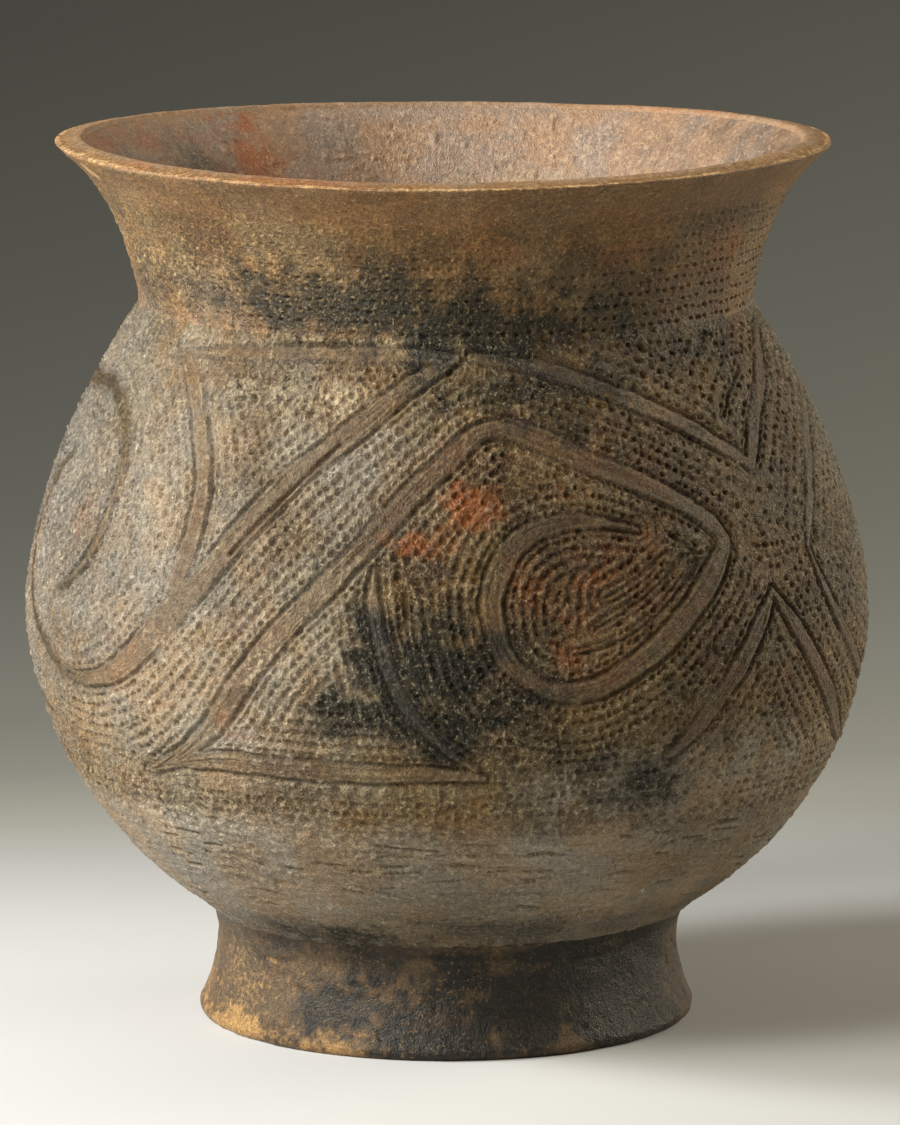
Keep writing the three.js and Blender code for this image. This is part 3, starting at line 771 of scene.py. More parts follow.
# The bands as traced: spacing of the dents beside them, then places along the middle as
# azimuth in degrees, height, and half width. A half width of nought is a single groove.
bands = (
    (3.3, ((-52, 210.5, 1), (-42, 212, 1.8), (-30, 213.3, 2.6), (-18, 214.3, 2.9), (-6, 214.3, 2.8),
           (2, 213.5, 2.2))),
    (3.3, ((1, 212.5, 2.5), (-6, 205.5, 3.5), (-12, 196.5, 4), (-17, 189, 4), (-22, 181, 4.2),
           (-26, 172, 4.5), (-29, 164.5, 4.5), (-32, 156.5, 4.3), (-35, 148.5, 4.3), (-38.5, 141, 5.2),
           (-41.5, 134, 5), (-45, 126.5, 4.7), (-49, 120, 4), (-54, 115.5, 3), (-60, 113.8, 2.3),
           (-66, 117, 2.3), (-70.5, 121.8, 2.3), (-75, 127.5, 2.3), (-79, 136, 2.3), (-82, 146, 2.3),
           (-82.5, 156, 2.2), (-80, 166, 2), (-76, 174, 1.5), (-73, 177, 1))),
    (3.3, ((-50, 210, 2.5), (-45, 202, 3), (-41.5, 193, 3.3), (-38.5, 183, 3.4), (-37.2, 173, 3.4),
           (-37.3, 163, 3.7), (-38, 154, 3.7), (-39.3, 146.5, 3.5))),
    (3.3, ((-80, 196.5, 2.8), (-75, 198, 2.8), (-70, 197.8, 2.8), (-64, 194.5, 2.8), (-59, 189, 2.7),
           (-56.2, 182, 2.4), (-55, 174, 2.3), (-55.3, 165, 2.4), (-56.3, 156.5, 2.6), (-58.5, 149, 2.4),
           (-62, 142.5, 2), (-65, 138.5, 1))),
    (3.3, ((10, 195, 3), (5, 193, 3.3), (0, 185, 3.8), (-4.5, 177, 3.8), (-8, 169, 3.8),
           (-11.5, 161, 3.6), (-14.5, 154, 3.8), (-17.5, 147, 4), (-20.5, 140.5, 4), (-23.5, 133, 4),
           (-26.5, 124.5, 4.1), (-29.5, 115.5, 4), (-32.5, 107.5, 3.6), (-36.5, 100.5, 3),
           (-41, 94.5, 2.6), (-46, 90, 1.5))),
    (3.3, ((-9.5, 156, 1.5), (-9.6, 148, 2.3), (-9, 140, 2.4), (-8, 131.5, 2.4), (-6.7, 123, 2.4),
           (-5, 115.5, 2.4), (-2.5, 108.5, 2.2), (0.7, 102, 2), (4, 97.3, 1.2))),
    (3.3, ((10, 195, 3.5), (16, 190.5, 3.8), (22, 184.5, 3.8), (28, 179.5, 3.8), (33, 174.5, 3.6),
           (38, 169, 3.4), (41, 164, 3.2), (42.5, 159.5, 3))),
    (3.2, ((42.5, 159, 3), (40, 152, 3.8), (37, 145.5, 4), (33.5, 139, 4), (30, 132.5, 4), (26, 127, 4),
           (21, 121.5, 3.8), (17, 120, 3.6), (13, 121.5, 3.2), (9.5, 126.5, 3), (7.5, 132.5, 3.2),
           (6.5, 140, 3.8), (6.3, 148, 4), (7.5, 156, 4), (9.5, 162, 3.8), (13, 166.5, 3.4),
           (18, 168.5, 2.8), (23, 167.5, 2), (28, 165, 1.2))),
    (4.4, ((5, 214, 2), (14, 211.5, 3), (22, 207.5, 3.3), (29, 202.5, 3.3), (35, 197.5, 3.3),
           (40, 193, 3.2), (45, 187.5, 3), (49, 182.5, 2.8), (52, 178.5, 2))),
    (4.4, ((52, 178.5, 2), (54.5, 184.5, 3), (57.5, 190.5, 3), (61.5, 196, 3), (66, 201.5, 3),
           (70.5, 207, 3), (74, 211, 2.6), (78, 214, 2))),
    (4.4, ((60.5, 152.5, 1.5), (63, 160, 2.5), (66, 167.5, 2.7), (69, 174, 2.7), (72.5, 180, 2.7),
           (77, 186, 2.7), (84, 192, 2.8), (92, 196, 2.8), (100, 196.5, 2.8))),
    (4.0, ((60.5, 153, 1.5), (62, 145, 2), (64.5, 136, 2.3), (68, 127, 2.5), (73, 118, 2.5),
           (79, 110.5, 2.5), (86, 105, 2.5), (95, 101, 2.2), (104, 99, 1.5), (108, 98, 1))),
    (3.6, ((50, 143, 1.5), (47.5, 136, 2.8), (45, 129.5, 3.4), (42, 121, 3.5), (38.5, 112.5, 3.5),
           (35.5, 105, 3.2), (32, 98.5, 2))),
    (3.6, ((50, 143, 1.5), (52.5, 136, 2.6), (55, 129.5, 3.2), (58, 122, 3.5), (61, 115, 3.5),
           (64.5, 108, 3.5), (68.5, 100.5, 3.3), (73, 94, 3), (78, 89, 2))),
    (3.3, ((-47, 90, 1.2), (-40, 94, 2.6), (-32, 96.3, 3.6), (-22, 96, 3.6), (-12, 95.6, 3.5),
           (-4, 96, 3), (2, 95.5, 2.4), (5, 94.5, 1.2))),
    (3.2, ((-16, 190, 0), (-21, 180, 0), (-26, 169, 0), (-30.5, 158, 0))),
    (3.2, ((-5.5, 149, 0), (-5, 139, 0), (-4, 129, 0), (-2.2, 118, 0), (0.5, 109, 0))),
    (3.2, ((37, 155, 0), (33, 147, 0), (28, 139, 0), (22, 133, 0), (17, 131, 0))),
    (3.2, ((34.5, 157, 0), (30, 149.5, 0), (25, 143, 0), (20, 138, 0))),
    (3.2, ((32, 159, 0), (27, 152, 0), (22, 147, 0))),
    (3.2, ((33, 163, 0), (37, 156, 0), (35, 150, 0))),
    (4.4, ((50, 193, 0), (53, 198, 0), (56, 201, 0), (60, 205, 0))),
)


# A band as close points: azimuth in radians, run up the wall, half width, and heading
def band_course(points, step=2.2):
    knots = [(math.radians(azimuth), run_at(height), half) for azimuth, height, half in points]
    knots = np.array(knots, float)
    padded = np.concatenate([[2 * knots[0] - knots[1]], knots, [2 * knots[-1] - knots[-2]]])
    course = []
    for before, start, end, after in zip(padded, padded[1:], padded[2:], padded[3:]):
        size = np.hypot((end[0] - start[0]) * radius_at(start[1]), end[1] - start[1])
        share = np.arange(0, 1, step / max(size, step))[:, None]
        course.append(0.5 * (2 * start + (end - before) * share
                             + (2 * before - 5 * start + 4 * end - after) * share**2
                             + (3 * start - before - 3 * end + after) * share**3))
    course = np.concatenate(course + [knots[-1:]])
    radius = radius_at(course[:, 1])
    steps = np.stack([np.gradient(course[:, 0]) * radius, np.gradient(course[:, 1])], axis=1)
    steps /= np.hypot(steps[:, 0], steps[:, 1])[:, None]
    course[:, 2] = np.maximum(course[:, 2], 0)
    return np.concatenate([course, steps], axis=1)


courses = [(spacing, band_course(points)) for spacing, points in bands]
column_angle = 2 * math.pi / columns
far_away = 99.0
band_edge = np.full((wall_rows, columns), far_away, np.float32)
line_edge = np.full((wall_rows, columns), far_away, np.float32)
row_gap = np.full((wall_rows, columns), 3.3, np.float32)
band_reach = 30.0
for spacing, course in courses:
    for start, end in zip(course, course[1:]):
        low = int(np.searchsorted(wall["run"], min(start[1], end[1]) - band_reach))
        high = int(np.searchsorted(wall["run"], max(start[1], end[1]) + band_reach))
        reach = band_reach / float(radius_at(start[1])) + abs(end[0] - start[0])
        first = int(round((start[0] + math.pi - reach) / column_angle))
        places = np.arange(first, first + int(2 * reach / column_angle))
        window = np.ix_(np.arange(low, high), places % columns)
        aside = (places * column_angle - math.pi - start[0])[None, :] * wall_line[low:high, 0:1]
        up = (wall["run"][low:high] - start[1])[:, None]
        ahead = ((end[0] - start[0]) * float(radius_at(start[1])), end[1] - start[1])
        share = np.clip((aside * ahead[0] + up * ahead[1]) / (ahead[0] ** 2 + ahead[1] ** 2), 0, 1)
        away = np.hypot(aside - share * ahead[0], up - share * ahead[1])
        edge = away - (start[2] + share * (end[2] - start[2]))
        row_gap[window] = np.where(edge < band_edge[window], spacing, row_gap[window])
        band_edge[window] = np.minimum(band_edge[window], edge)
        if course[0, 2] == 0:
            line_edge[window] = np.minimum(line_edge[window], away)
# The same pattern runs on round the back, half a turn away
half_round = columns // 2
behind = np.roll(band_edge, half_round, axis=1)
row_gap = np.where(behind < band_edge, np.roll(row_gap, half_round, axis=1), row_gap)
band_edge = np.minimum(band_edge, behind)
line_edge = np.minimum(line_edge, np.roll(line_edge, half_round, axis=1))


def on_both_sides(marks):
    return np.maximum(marks, np.roll(marks, half_round, axis=1))


# Pressed a little harder on the right of the pattern; on its left the dents are wide and soft
from_middle = (degrees_round[0] + 90) % 180 - 90
firm_side = smooth_share(from_middle, 5, 45) * (1 - smooth_share(from_middle, 78, 90))
firm = 1.35 + 0.05 * firm_side

# Grooves beside the bands, drawn by hand and so of uneven depth, with a low burr on each side,
# and the strokes that rubbed the bands smooth along their length
wander = 0.4 * lumps(wall, 8, 51) + 0.22 * lumps(wall, 2.6, 52) + 0.12 * lumps(wall, 1.1, 50)
edge = band_edge + wander
groove_depth = np.clip(0.8 + 0.5 * lumps(wall, 19, 53) + 0.3 * lumps(wall, 6, 54), 0.2, 1.4)
groove = np.maximum(np.exp(-((edge / 0.85) ** 2)), 0.85 * np.exp(-((line_edge / 0.75) ** 2)))
band = smooth_share(-edge, 0.3, 1.0)
wall["burnish"] = band * (0.7 + 0.4 * lumps(wall, 9, 55))
relief = wall["relief"]
relief -= groove_depth * firm * groove
relief += 0.2 * np.exp(-(((edge - 1.4) / 0.5) ** 2)) + 0.16 * np.exp(-(((edge + 1.2) / 0.5) ** 2))
# Each stroke is a distance from the band's edge, a depth, a half width and a seed
strokes = ((-1.9, 0.42, 0.42, 111), (-3.1, 0.38, 0.45, 113), (1.55, 0.3, 0.4, 115))
for offset, depth, half_width, seed in strokes:
    line_away = band_edge - offset + 0.35 * lumps(wall, 12, seed) + 0.15 * lumps(wall, 3, seed + 1)
    presence = np.clip(0.35 + 1.3 * lumps(wall, 24, seed + 40), 0, 1)
    relief -= depth * presence * np.exp(-((line_away / half_width) ** 2))
relief += band * 0.07 * np.sin(band_edge * 5.5 + 3 * lumps(wall, 11, 58))
relief += 0.42 * lumps(wall, 46, 56) + 0.2 * lumps(wall, 19, 57)

# Between them, shallow furrows run beside the bands at the spacing of the dents
first_row = 1.9
row_count = 7
rows_out = (band_edge - first_row) / row_gap
in_rows = smooth_share(rows_out, -0.6, 0) * (1 - smooth_share(rows_out, row_count - 1, row_count))
in_rows *= smooth_share(wall["z"], 90, 95) * (1 - smooth_share(wall["z"], 213, 217))
swirl_spots = ((22, 146, 17, 22, 1.0), (0, 126, 7, 24, 0.8), (-78, 152, 12, 22, 0.8))
swirl = on_both_sides(patches(wall, swirl_spots, 123, 0.5))
furrow = 0.5 + 0.5 * np.cos(2 * math.pi * rows_out + 0.5 * lumps(wall, 7, 59))
relief -= (0.24 + 0.5 * swirl) * in_rows * furrow

# Rows of dents: each is pressed with the rounded end of a stick, a little aslant, and throws
# up a small burr on one side
dent_random = np.random.default_rng(23)
dent_sureness = np.clip(1.0 + 0.7 * lumps(wall, 16, 129), 0.35, 0.95) - 0.4 * swirl
taken = np.zeros((wall_rows, columns), bool)
crowded = np.zeros((wall_rows, columns), bool)
clear_reach = 2.5
edge_rows_free = 8
place_wander = 0.13


def dent(azimuth, run, heading, half_length, half_width, depth, room):
    row = int(round(run / wall["run"][-1] * (wall_rows - 1)))
    column = int(round((azimuth + math.pi) / column_angle))
    if not edge_rows_free <= row < wall_rows - edge_rows_free or taken[row, column % columns]:
        return
    radius = wall_line[row, 0]
    extent = max(2.0 * max(half_length, half_width), clear_reach)
    up_count = int(extent / outside_step) + 1
    side_count = int(extent / (column_angle * radius)) + 1
    rows = np.arange(max(row - up_count, 0), min(row + up_count + 1, wall_rows))
    places = np.arange(column - side_count, column + side_count + 1)
    window = np.ix_(rows, places % columns)
    aside = (places * column_angle - math.pi - azimuth)[None, :] * radius
    up = (wall["run"][rows] - run)[:, None]
    along = aside * heading[0] + up * heading[1]
    across = up * heading[0] - aside * heading[1]
    reach = (along / half_length) ** 2 + (across / half_width) ** 2
    hollow = np.exp(-(reach**1.3)) * np.clip(1 + 0.5 * along / half_length, 0, 2)
    one_sided = 0.55 + 0.45 * np.clip(along / half_length, -1, 1)
    burr = np.exp(-(((np.sqrt(reach) - 1.4) / 0.4) ** 2)) * one_sided
    relief[window] += 0.3 * burr - depth * firm[column % columns] * hollow
    away = np.hypot(aside, up)
    taken[window] |= away < room
    crowded[window] |= away < clear_reach


def dent_row(azimuths, runs, headings, spacing, edge_wanted):
    radius = radius_at(runs)
    gaps = np.hypot(np.diff(azimuths) * radius[1:], np.diff(runs))
    length = np.concatenate([[0], np.cumsum(gaps)])
    place = dent_random.uniform(0, spacing)
    while place < length[-1]:
        azimuth, run = np.interp(place, length, azimuths), np.interp(place, length, runs)
        heading = (np.interp(place, length, headings[:, 0]), np.interp(place, length, headings[:, 1]))
        azimuth += dent_random.normal(0, place_wander) / radius_at(run)
        run += dent_random.normal(0, place_wander)
        row = int(np.clip(run / wall["run"][-1] * (wall_rows - 1), 0, wall_rows - 1))
        column = int((azimuth + math.pi) / column_angle) % columns
        bare = band_edge[row, column] > 4.5 and not crowded[row, column]
        near = abs(band_edge[row, column] - edge_wanted) < 0.5 if edge_wanted else bare
        likely = dent_sureness[row, column]
        if near and band_edge[row, column] > 1.3 and dent_random.random() < likely:
            size = (0.42 + 0.18 * spacing) * dent_random.uniform(0.8, 1.2)
            soft = 1.25 - 0.25 * firm_side[column]
            depth = dent_random.uniform(0.2, 0.58) / soft
            dent(azimuth, run, heading, 0.98 * size * soft, 0.7 * size * soft, depth, 1.2 * size)
        place += 0.88 * spacing * dent_random.uniform(0.86, 1.14)


field_bottom = 93
field_top = 216
for row_number in range(row_count):
    for half_turn in (0, math.pi):
        for spacing, course in courses:
            radius = radius_at(course[:, 1])
            for side in (-1, 1):
                wanted = first_row + row_number * spacing
                shift = side * (course[:, 2] + wanted)
                azimuths = course[:, 0] - course[:, 4] * shift / radius + half_turn
                runs = course[:, 1] + course[:, 3] * shift
                inside_field = (runs > run_at(field_bottom)) & (runs < run_at(field_top))
                runs = np.clip(runs, 1, wall["run"][-1] - 1)
                if inside_field.sum() > 1:
                    headings = course[inside_field, 3:5]
                    dent_row(azimuths[inside_field], runs[inside_field], headings, spacing, wanted)


# Level rows fill the field where no band is near, thin out below it, and stipple the neck
def level_row(height, spacing):
    round_points = 361
    azimuths = np.linspace(-math.pi, math.pi, round_points)
    headings = np.tile((1.0, 0.0), (round_points, 1))
    dent_row(azimuths, np.full(round_points, run_at(height)), headings, spacing, None)


for height in np.arange(94, 216, 3.1):
    level_row(height, 3.4)
low_rows_height = 92.5
while low_rows_height > 74:
    level_row(low_rows_height, 3.6 if low_rows_height > 82 else 6.5)
    low_rows_height -= 3.2
neck_run = run_at(neck_crease[1])
neck_row_count = 11
neck_row_gap = 3.45
for number in range(neck_row_count):
    run = neck_run + 1.5 + neck_row_gap * number
    fade = 1 - (number / neck_row_count) ** 2
    place = -math.pi
    while place < math.pi:
        if dent_random.random() < 0.85:
            dent(place, run + dent_random.normal(0, 0.25), (1.0, 0.0), 0.95, 0.55,
                 fade * dent_random.uniform(0.2, 0.7), 1.0)
        place += dent_random.uniform(2.9, 3.9) / float(radius_at(run))

# Wear and finish of the outside: coarse grain in the field, fine level strokes low down and
# under the lip, hair cracks above the foot
upper_neck = smooth_share(wall["z"], 250, 258)
low_wall = 1 - smooth_share(wall["z"] + 3 * lumps(wall, 14, 60), 72, 84)
on_neck = smooth_share(wall["z"], 216, 224)
coarse = (1 - band) * (1 - 0.5 * upper_neck) * (1 - 0.65 * low_wall) * (1 - 0.72 * on_neck)
relief += 1.3 * (1 - smooth_share(wall["run"], 0, 9))[:, None]
winding = np.maximum(crests(wall, 2.2, 61, 1.0, 0.13), 0.8 * crests(wall, 1.4, 120, 1.0, 0.14))
relief += coarse * (0.3 * winding + 0.2 * lumps(wall, 1.7, 62) + 0.24 * lumps(wall, 4, 63))
relief += band * (0.10 * lumps(wall, 1.1, 64) + 0.12 * lumps(wall, 2.6, 116) + 0.12 * crests(wall, 3.5, 121))
relief -= coarse * 1.6 * np.clip(lumps(wall, 3.1, 65) - 0.48, 0, 1)
crumbs = np.clip(lumps(wall, 1.7, 69) - 0.52, 0, 1) * (0.35 + 0.65 * coarse)
relief += 1.4 * crumbs
relief += (low_wall + upper_neck) * 0.14 * lumps(wall, 9, 66, 6.0)
relief += low_wall * (0.14 * lumps(wall, 3, 67, 2.5) + 0.16 * lumps(wall, 5, 117, 6.0)
                      + 0.12 * lumps(wall, 1.8, 118, 2.0))
# Short upright ridges left between the lowest dents, where the stick was drawn down
ridge_band = smooth_share(wall["z"], 74, 80) * (1 - smooth_share(wall["z"], 90, 94))
ridge_band = ridge_band * np.clip(0.6 + 1.2 * lumps(wall, 18, 125), 0, 1)
ridge_phase = 150 * turns[None, :] + 2.6 * lumps(wall, 6, 126) + 2.4 * lumps(wall, 15, 132)
relief += 0.34 * ridge_band * np.clip(0.5 + 1.1 * lumps(wall, 7, 133), 0, 1.2) * np.sin(ridge_phase)
hair_cracks = (
    (2, 8, 73, 73, 0.5), (18, 23, 72, 72, 0.5), (1, 15, 70, 68.5, 0.6), (-13, -7, 70, 70, 0.5),
    (-15, -10, 68, 67, 0.5), (-2, 16, 66.5, 64.5, 0.6), (-38, -31, 66, 62, 0.6), (18, 22, 62, 62, 0.5),
    (-16, -6, 57.5, 53, 0.6), (7, 18, 55.4, 55.4, 0.5), (-3, 3, 55.5, 55.5, 0.4),
    (-40, -33, 58, 55, 0.6), (-14, -9, 47, 47, 0.5), (24, 28, 48, 48, 0.4),
)
crack_random = np.random.default_rng(31)
short_cracks = []
short_crack_count = 190
for _ in range(short_crack_count):
    azimuth = crack_random.uniform(-180, 180)
    height = crack_random.uniform(44, 74)
    reach = crack_random.uniform(1.5, 7)
    drop = crack_random.uniform(-1.2, 0.8)
    short_cracks.append((azimuth, azimuth + reach, height, height + drop, crack_random.uniform(0.6, 1.3)))
scored(wall, short_cracks, 0.38, 119)
scored(wall, hair_cracks, 0.4, 68)
cracks_behind = [(start + 180, end + 180, low, high, depth) for start, end, low, high, depth in hair_cracks]
scored(wall, cracks_behind, 0.4, 70)


# A surface averaged over its neighbourhood, to tell hollows from ridges
def blurred(values, reach_rows, reach_columns):
    result = values
    for axis, reach in ((0, reach_rows), (1, reach_columns)):
        offsets = np.arange(-2 * reach, 2 * reach + 1)
        kernel = np.exp(-0.5 * (offsets / reach) ** 2)
        kernel /= kernel.sum()
        padding = ((2 * reach, 2 * reach), (0, 0)) if axis == 0 else ((0, 0), (2 * reach, 2 * reach))
        padded = np.pad(result, padding, mode="edge" if axis == 0 else "wrap")
        size = values.shape[axis]
        result = sum(weight * (padded[first:first + size] if axis == 0 else padded[:, first:first + size])
                     for first, weight in enumerate(kernel))
    return result


# Paints shade into hollows and light onto ridges, by how far each point lies below or above its
# neighbourhood
def painted_relief_shading(skin, reach):
    local = skin["relief"] - blurred(skin["relief"], reach, reach)
    skin["press"] = np.maximum(skin["press"], np.clip(-local / 0.75, 0, 1)).astype(np.float32)
    skin["worn"] = np.maximum(skin["worn"], np.clip(local / 0.4, 0, 1)).astype(np.float32)


painted_relief_shading(wall, 5)
# Raised grains, winding crests and ridges take the dust colour: partly dust and wear, partly a painted
# highlight on what stands up
wall["worn"] = np.clip(0.6 * wall["worn"] + 2.2 * crumbs + 0.45 * coarse * winding, 0, 1)
wall["burnish"] = np.clip(wall["burnish"] + 0.35 * upper_neck + 0.15 * low_wall, 0, 1)
ashy_spots = ((-46, 158, 20, 56, 0.85), (-36, 114, 24, 30, 0.75), (-58, 205, 22, 12, 0.4),
(-22, 132, 13, 32, 0.6),
              (-16, 186, 15, 22, 0.6), (-20, 114, 10, 16, 0.5), (-80, 165, 20, 55, 0.9))
ashy = on_both_sides(patches(wall, ashy_spots, 127, 0.5))
# White specks on the ashy field: partly pale grains, partly painted glints
glint_speckle = np.clip(2.6 * lumps(wall, 1.3, 128) + 0.7 * lumps(wall, 5, 130) - 0.5, 0, 1)
wall["worn"] = np.clip(wall["worn"] + 0.9 * ashy * (1 - 0.7 * band) * glint_speckle, 0, 1)
wall["burnish"] = np.clip(wall["burnish"] * (1 + 0.6 * ashy), 0, 1)
far_left = 1 - smooth_share(from_middle, -62, -46)
# Grey ash over the far left, which darkens it: partly the clay's grey, partly painted shade
ash_and_shade_spots = ((-78, 160, 26, 62, 1.1), (-58, 148, 14, 36, 0.8), (-56, 200, 20, 14, 0.6),
(-40, 172, 12, 24, 0.4))
wall["ash"] = on_both_sides(patches(wall, ash_and_shade_spots, 135, 0.6)) * (1 - 0.95 * band)
band_pale = 0.45 + 0.5 * far_left
# Paler low on the wall: partly the clay's own colour, partly painted light for what the floor throws up
low_pale_and_bounce = 0.62 * low_wall * (1 + 0.5 * lumps(wall, 22, 124))
wall["pale"] = np.clip(low_pale_and_bounce + ashy * (1 - band_pale * band), 0, 1)
low_pale_spots = ((44, 88, 30, 13, 0.75), (-136, 88, 30, 13, 0.75), (20, 76, 16, 8, 0.4))
wall["pale"] = np.maximum(wall["pale"], patches(wall, low_pale_spots, 134, 0.4))
# Painted shade: weaker in the dents on the soft side, strong in the grooves
wall["press"] = np.clip(wall["press"] * (0.4 + 0.3 * firm_side) + (0.7 + 0.6 * ashy) * groove, 0, 1)

# Fire clouds, red blushes and dried earth on the outside: first those of the front, then a
# few of the back's own. The rubbed bands are a little smoked all round. The long cloud at -90 degrees is
# painted shade on the far left.
wall["smoke"] = patches(wall, (
    (-8.5, 140, 4, 9, 0.9), (-7.5, 127, 5, 9, 1.0), (-5, 115, 5, 9, 1.05), (-1, 105, 5, 7, 0.9),
    (0, 127, 9, 15, 1.25), (6, 133, 5, 9, 0.8), (-14, 114, 6, 8, 0.85), (8, 119, 8, 8, 0.7),
    (1, 116, 7, 10, 1.1), (21, 98, 8, 8, 0.65), (29, 91, 9, 7, 0.75), (40, 101, 7, 6, 0.45),
    (-18, 228, 34, 15, 0.8), (4, 222, 28, 12, 1.1), (22, 221, 22, 11, 0.9), (40, 233, 16, 14, 0.45),
    (-46, 231, 26, 14, 0.45), (-74, 234, 14, 8, 0.15), (18, 206, 26, 11, 0.75), (-14, 210, 18, 7, 0.45),
    (18, 196, 11, 11, 0.75), (8, 182, 10, 12, 0.35), (-90, 168, 12, 55, 0.5), (-74, 192, 14, 14, 0.35),
    (-40, 123, 6, 6, 0.3), (-16, 107, 7, 6, 0.35), (24, 148, 18, 22, 0.4), (-25, 38, 26, 6, 0.8),
    (50, 211, 15, 10, 0.65), (-60, 245, 10, 8, 0.35), (34, 188, 16, 12, 0.55), (70, 225, 14, 12, 0.4),
    (0, 143, 9, 13, 0.55), (54, 176, 12, 34, 0.5), (45, 192, 16, 12, 0.4), (38, 145, 18, 50, 0.38),
    (28, 150, 12, 14, 0.35), (-38, 205, 12, 8, 0.3), (44, 160, 12, 14, 0.35), (12, 40, 50, 6, 0.6),
    (150, 120, 30, 26, 0.7), (-150, 190, 26, 20, 0.6), (120, 215, 24, 14, 0.6), (180, 60, 40, 16, 0.5),
    (-120, 90, 20, 18, 0.5)), 72, 0.75)
smoked_band = 0.12 + 0.5 * far_left + 0.24 * smooth_share(from_middle, -8, 16)
wall["smoke"] = np.maximum(wall["smoke"], band * smoked_band)
wall["blush"] = patches(wall, (
    (4, 173, 5, 6, 0.95), (-3.5, 163.5, 4.5, 4, 0.8), (-8, 165, 3, 4, 0.5), (11, 152, 3.5, 9, 0.6),
    (21, 152, 5, 5, 0.75), (16, 131, 4, 5, 0.65), (12, 122, 8, 3, 0.35), (52.5, 131, 3, 4, 0.5),
    (34, 191, 5, 5, 0.4), (-30, 108, 3, 5, 0.35), (-24, 128, 5, 6, 0.12), (22, 146, 17, 22, 0.42),
    (24, 186, 20, 16, 0.32), (58, 120, 8, 16, 0.34), (60, 240, 6, 6, 0.45), (-40, 112, 5, 4, 0.3),
    (-62, 160, 4, 7, 0.3), (-60, 118, 14, 5, 0.25), (-81, 145, 3, 20, 0.4), (-46, 124, 4, 7, 0.3),
    (-45, 124, 8, 8, 0.26), (40, 150, 30, 50, 0.2), (64, 200, 16, 20, 0.26), (-30, 140, 5, 5, 0.3),
    (10, 248, 9, 6, 0.45), (30, 243, 8, 5, 0.35), (-5, 212, 5, 3, 0.3), (44, 225, 5, 5, 0.3),
    (176, 170, 9, 9, 0.8), (150, 150, 6, 12, 0.6), (-140, 120, 9, 7, 0.5), (110, 130, 7, 8, 0.4)), 75)
wall["buff"] = patches(wall, (
    (-68, 261, 1.6, 2.2, 1.0), (-30, 203, 12, 4, 0.4), (-24, 126, 5, 8, 0.3), (-17, 203, 4, 4, 0.5),
    (-22, 198, 6, 4, 0.35), (-15, 218, 18, 1.2, 0.5), (-40, 216, 12, 1.2, 0.4), (-4, 199, 1.6, 1.6, 0.7),
    (-60, 175, 22, 32, 0.22), (-40, 130, 10, 10, 0.2), (-66, 140, 14, 12, 0.25), (-50, 235, 40, 12, 0.3),
    (-40, 75, 40, 16, 0.3), (30, 72, 30, 12, 0.14), (-20, 112, 6, 5, 0.3), (150, 200, 12, 8, 0.7),
    (180, 255, 60, 8, 0.4), (-120, 150, 20, 30, 0.3), (130, 70, 40, 14, 0.25)), 78)

# Inside: the outside moved in through the clay and smoothed by hand. It is pale all over, and
# sooty and reddened where the fire reached in over the lip. Painted shade darkens its right side and painted
# light lightens it low down.
wall_outer = worked(wall)
inside_points = inner_line()
deep_points = int(np.argmax(inside_points[:, 1] > neck_crease[1] - 20))
inside_line = np.concatenate([even_line(inside_points[:deep_points + 1], inside_step),
                              even_line(inside_points[deep_points:], 0.5)[1:]])[::-1]
mouth_inner_height = 265.8
lip_crest_height = 267.4
lip_top_row = int(np.argmax(inside_line[:, 1] < mouth_inner_height))
inside_line = inside_line[lip_top_row:-1]
inside = turned_skin(inside_line)
inside["pale"] += 1
roughened(inside, 81, 1.0)
inside["relief"] += 0.5 * lumps(inside, 30, 84) + 0.25 * lumps(inside, 12, 85, 2.0)
inside["relief"] -= 1.1 * np.clip(lumps(inside, 3.0, 86) - 0.52, 0, 1)
inside["relief"] += 1.2 * np.clip(lumps(inside, 3.1, 87) - 0.5, 0, 1)
inside["relief"] *= smooth_share(inside["run"], 0, 5)[:, None]
painted_relief_shading(inside, 5)
# The clouds at 60 and 100 degrees are painted shade on the wall that faces the key lamp
inside["smoke"] = patches(inside, (
    (-128, 246, 16, 16, 0.7), (-108, 250, 18, 12, 0.6), (-160, 255, 14, 8, 0.35),
    (-150, 238, 14, 8, 0.6), (0, 120, 180, 40, 0.35), (60, 250, 30, 14, 0.5),
    (100, 258, 44, 16, 0.55)), 88, 0.5)
inside["blush"] = patches(inside, (
    (-142, 250, 7, 12, 1.1), (-133, 247, 5, 7, 0.8), (-120, 260, 14, 3, 0.6), (-100, 262, 20, 4, 0.6),
    (-150, 244, 5, 5, 0.6)), 91)
# The broad patch at 180 degrees and 240 high is painted light on the shaded lower inside
inside["buff"] = patches(inside, (
    (150, 252, 30, 12, 0.25), (180, 256, 20, 8, 0.25), (-170, 250, 16, 10, 0.25), (-30, 255, 40, 8, 0.4),
    (180, 240, 70, 10, 0.35)), 94)
# Painted light: low down, the inside is lightened with the dust colour where it lies in shade
inside["worn"] = np.clip(inside["worn"] + 0.7 * (1 - smooth_share(inside["z"], 225, 252)), 0, 1)
wall_inner = worked(inside)


def outer_row(height):
    return int(np.argmin(np.abs(wall_line[:, 1] - height)))


def inner_row(outside_height):
    return int(np.argmin(np.abs(inside_line[:, 2] - outside_height)))


joint_rows = {}
for joint, height in joint_heights.items():
    joint_rows[joint] = (outer_row(height + scarf_rise / 2), inner_row(height - scarf_rise / 2))
joint_steps = 4
body_clay = clay_material(
    "body_clay",
    ((124, 100, 60), (76, 58, 32), (84, 61, 33), (196, 186, 166), (25, 24, 11), (152, 80, 24),
    (165, 151, 129)),
    0.38, 0.5, 0.0017,
)
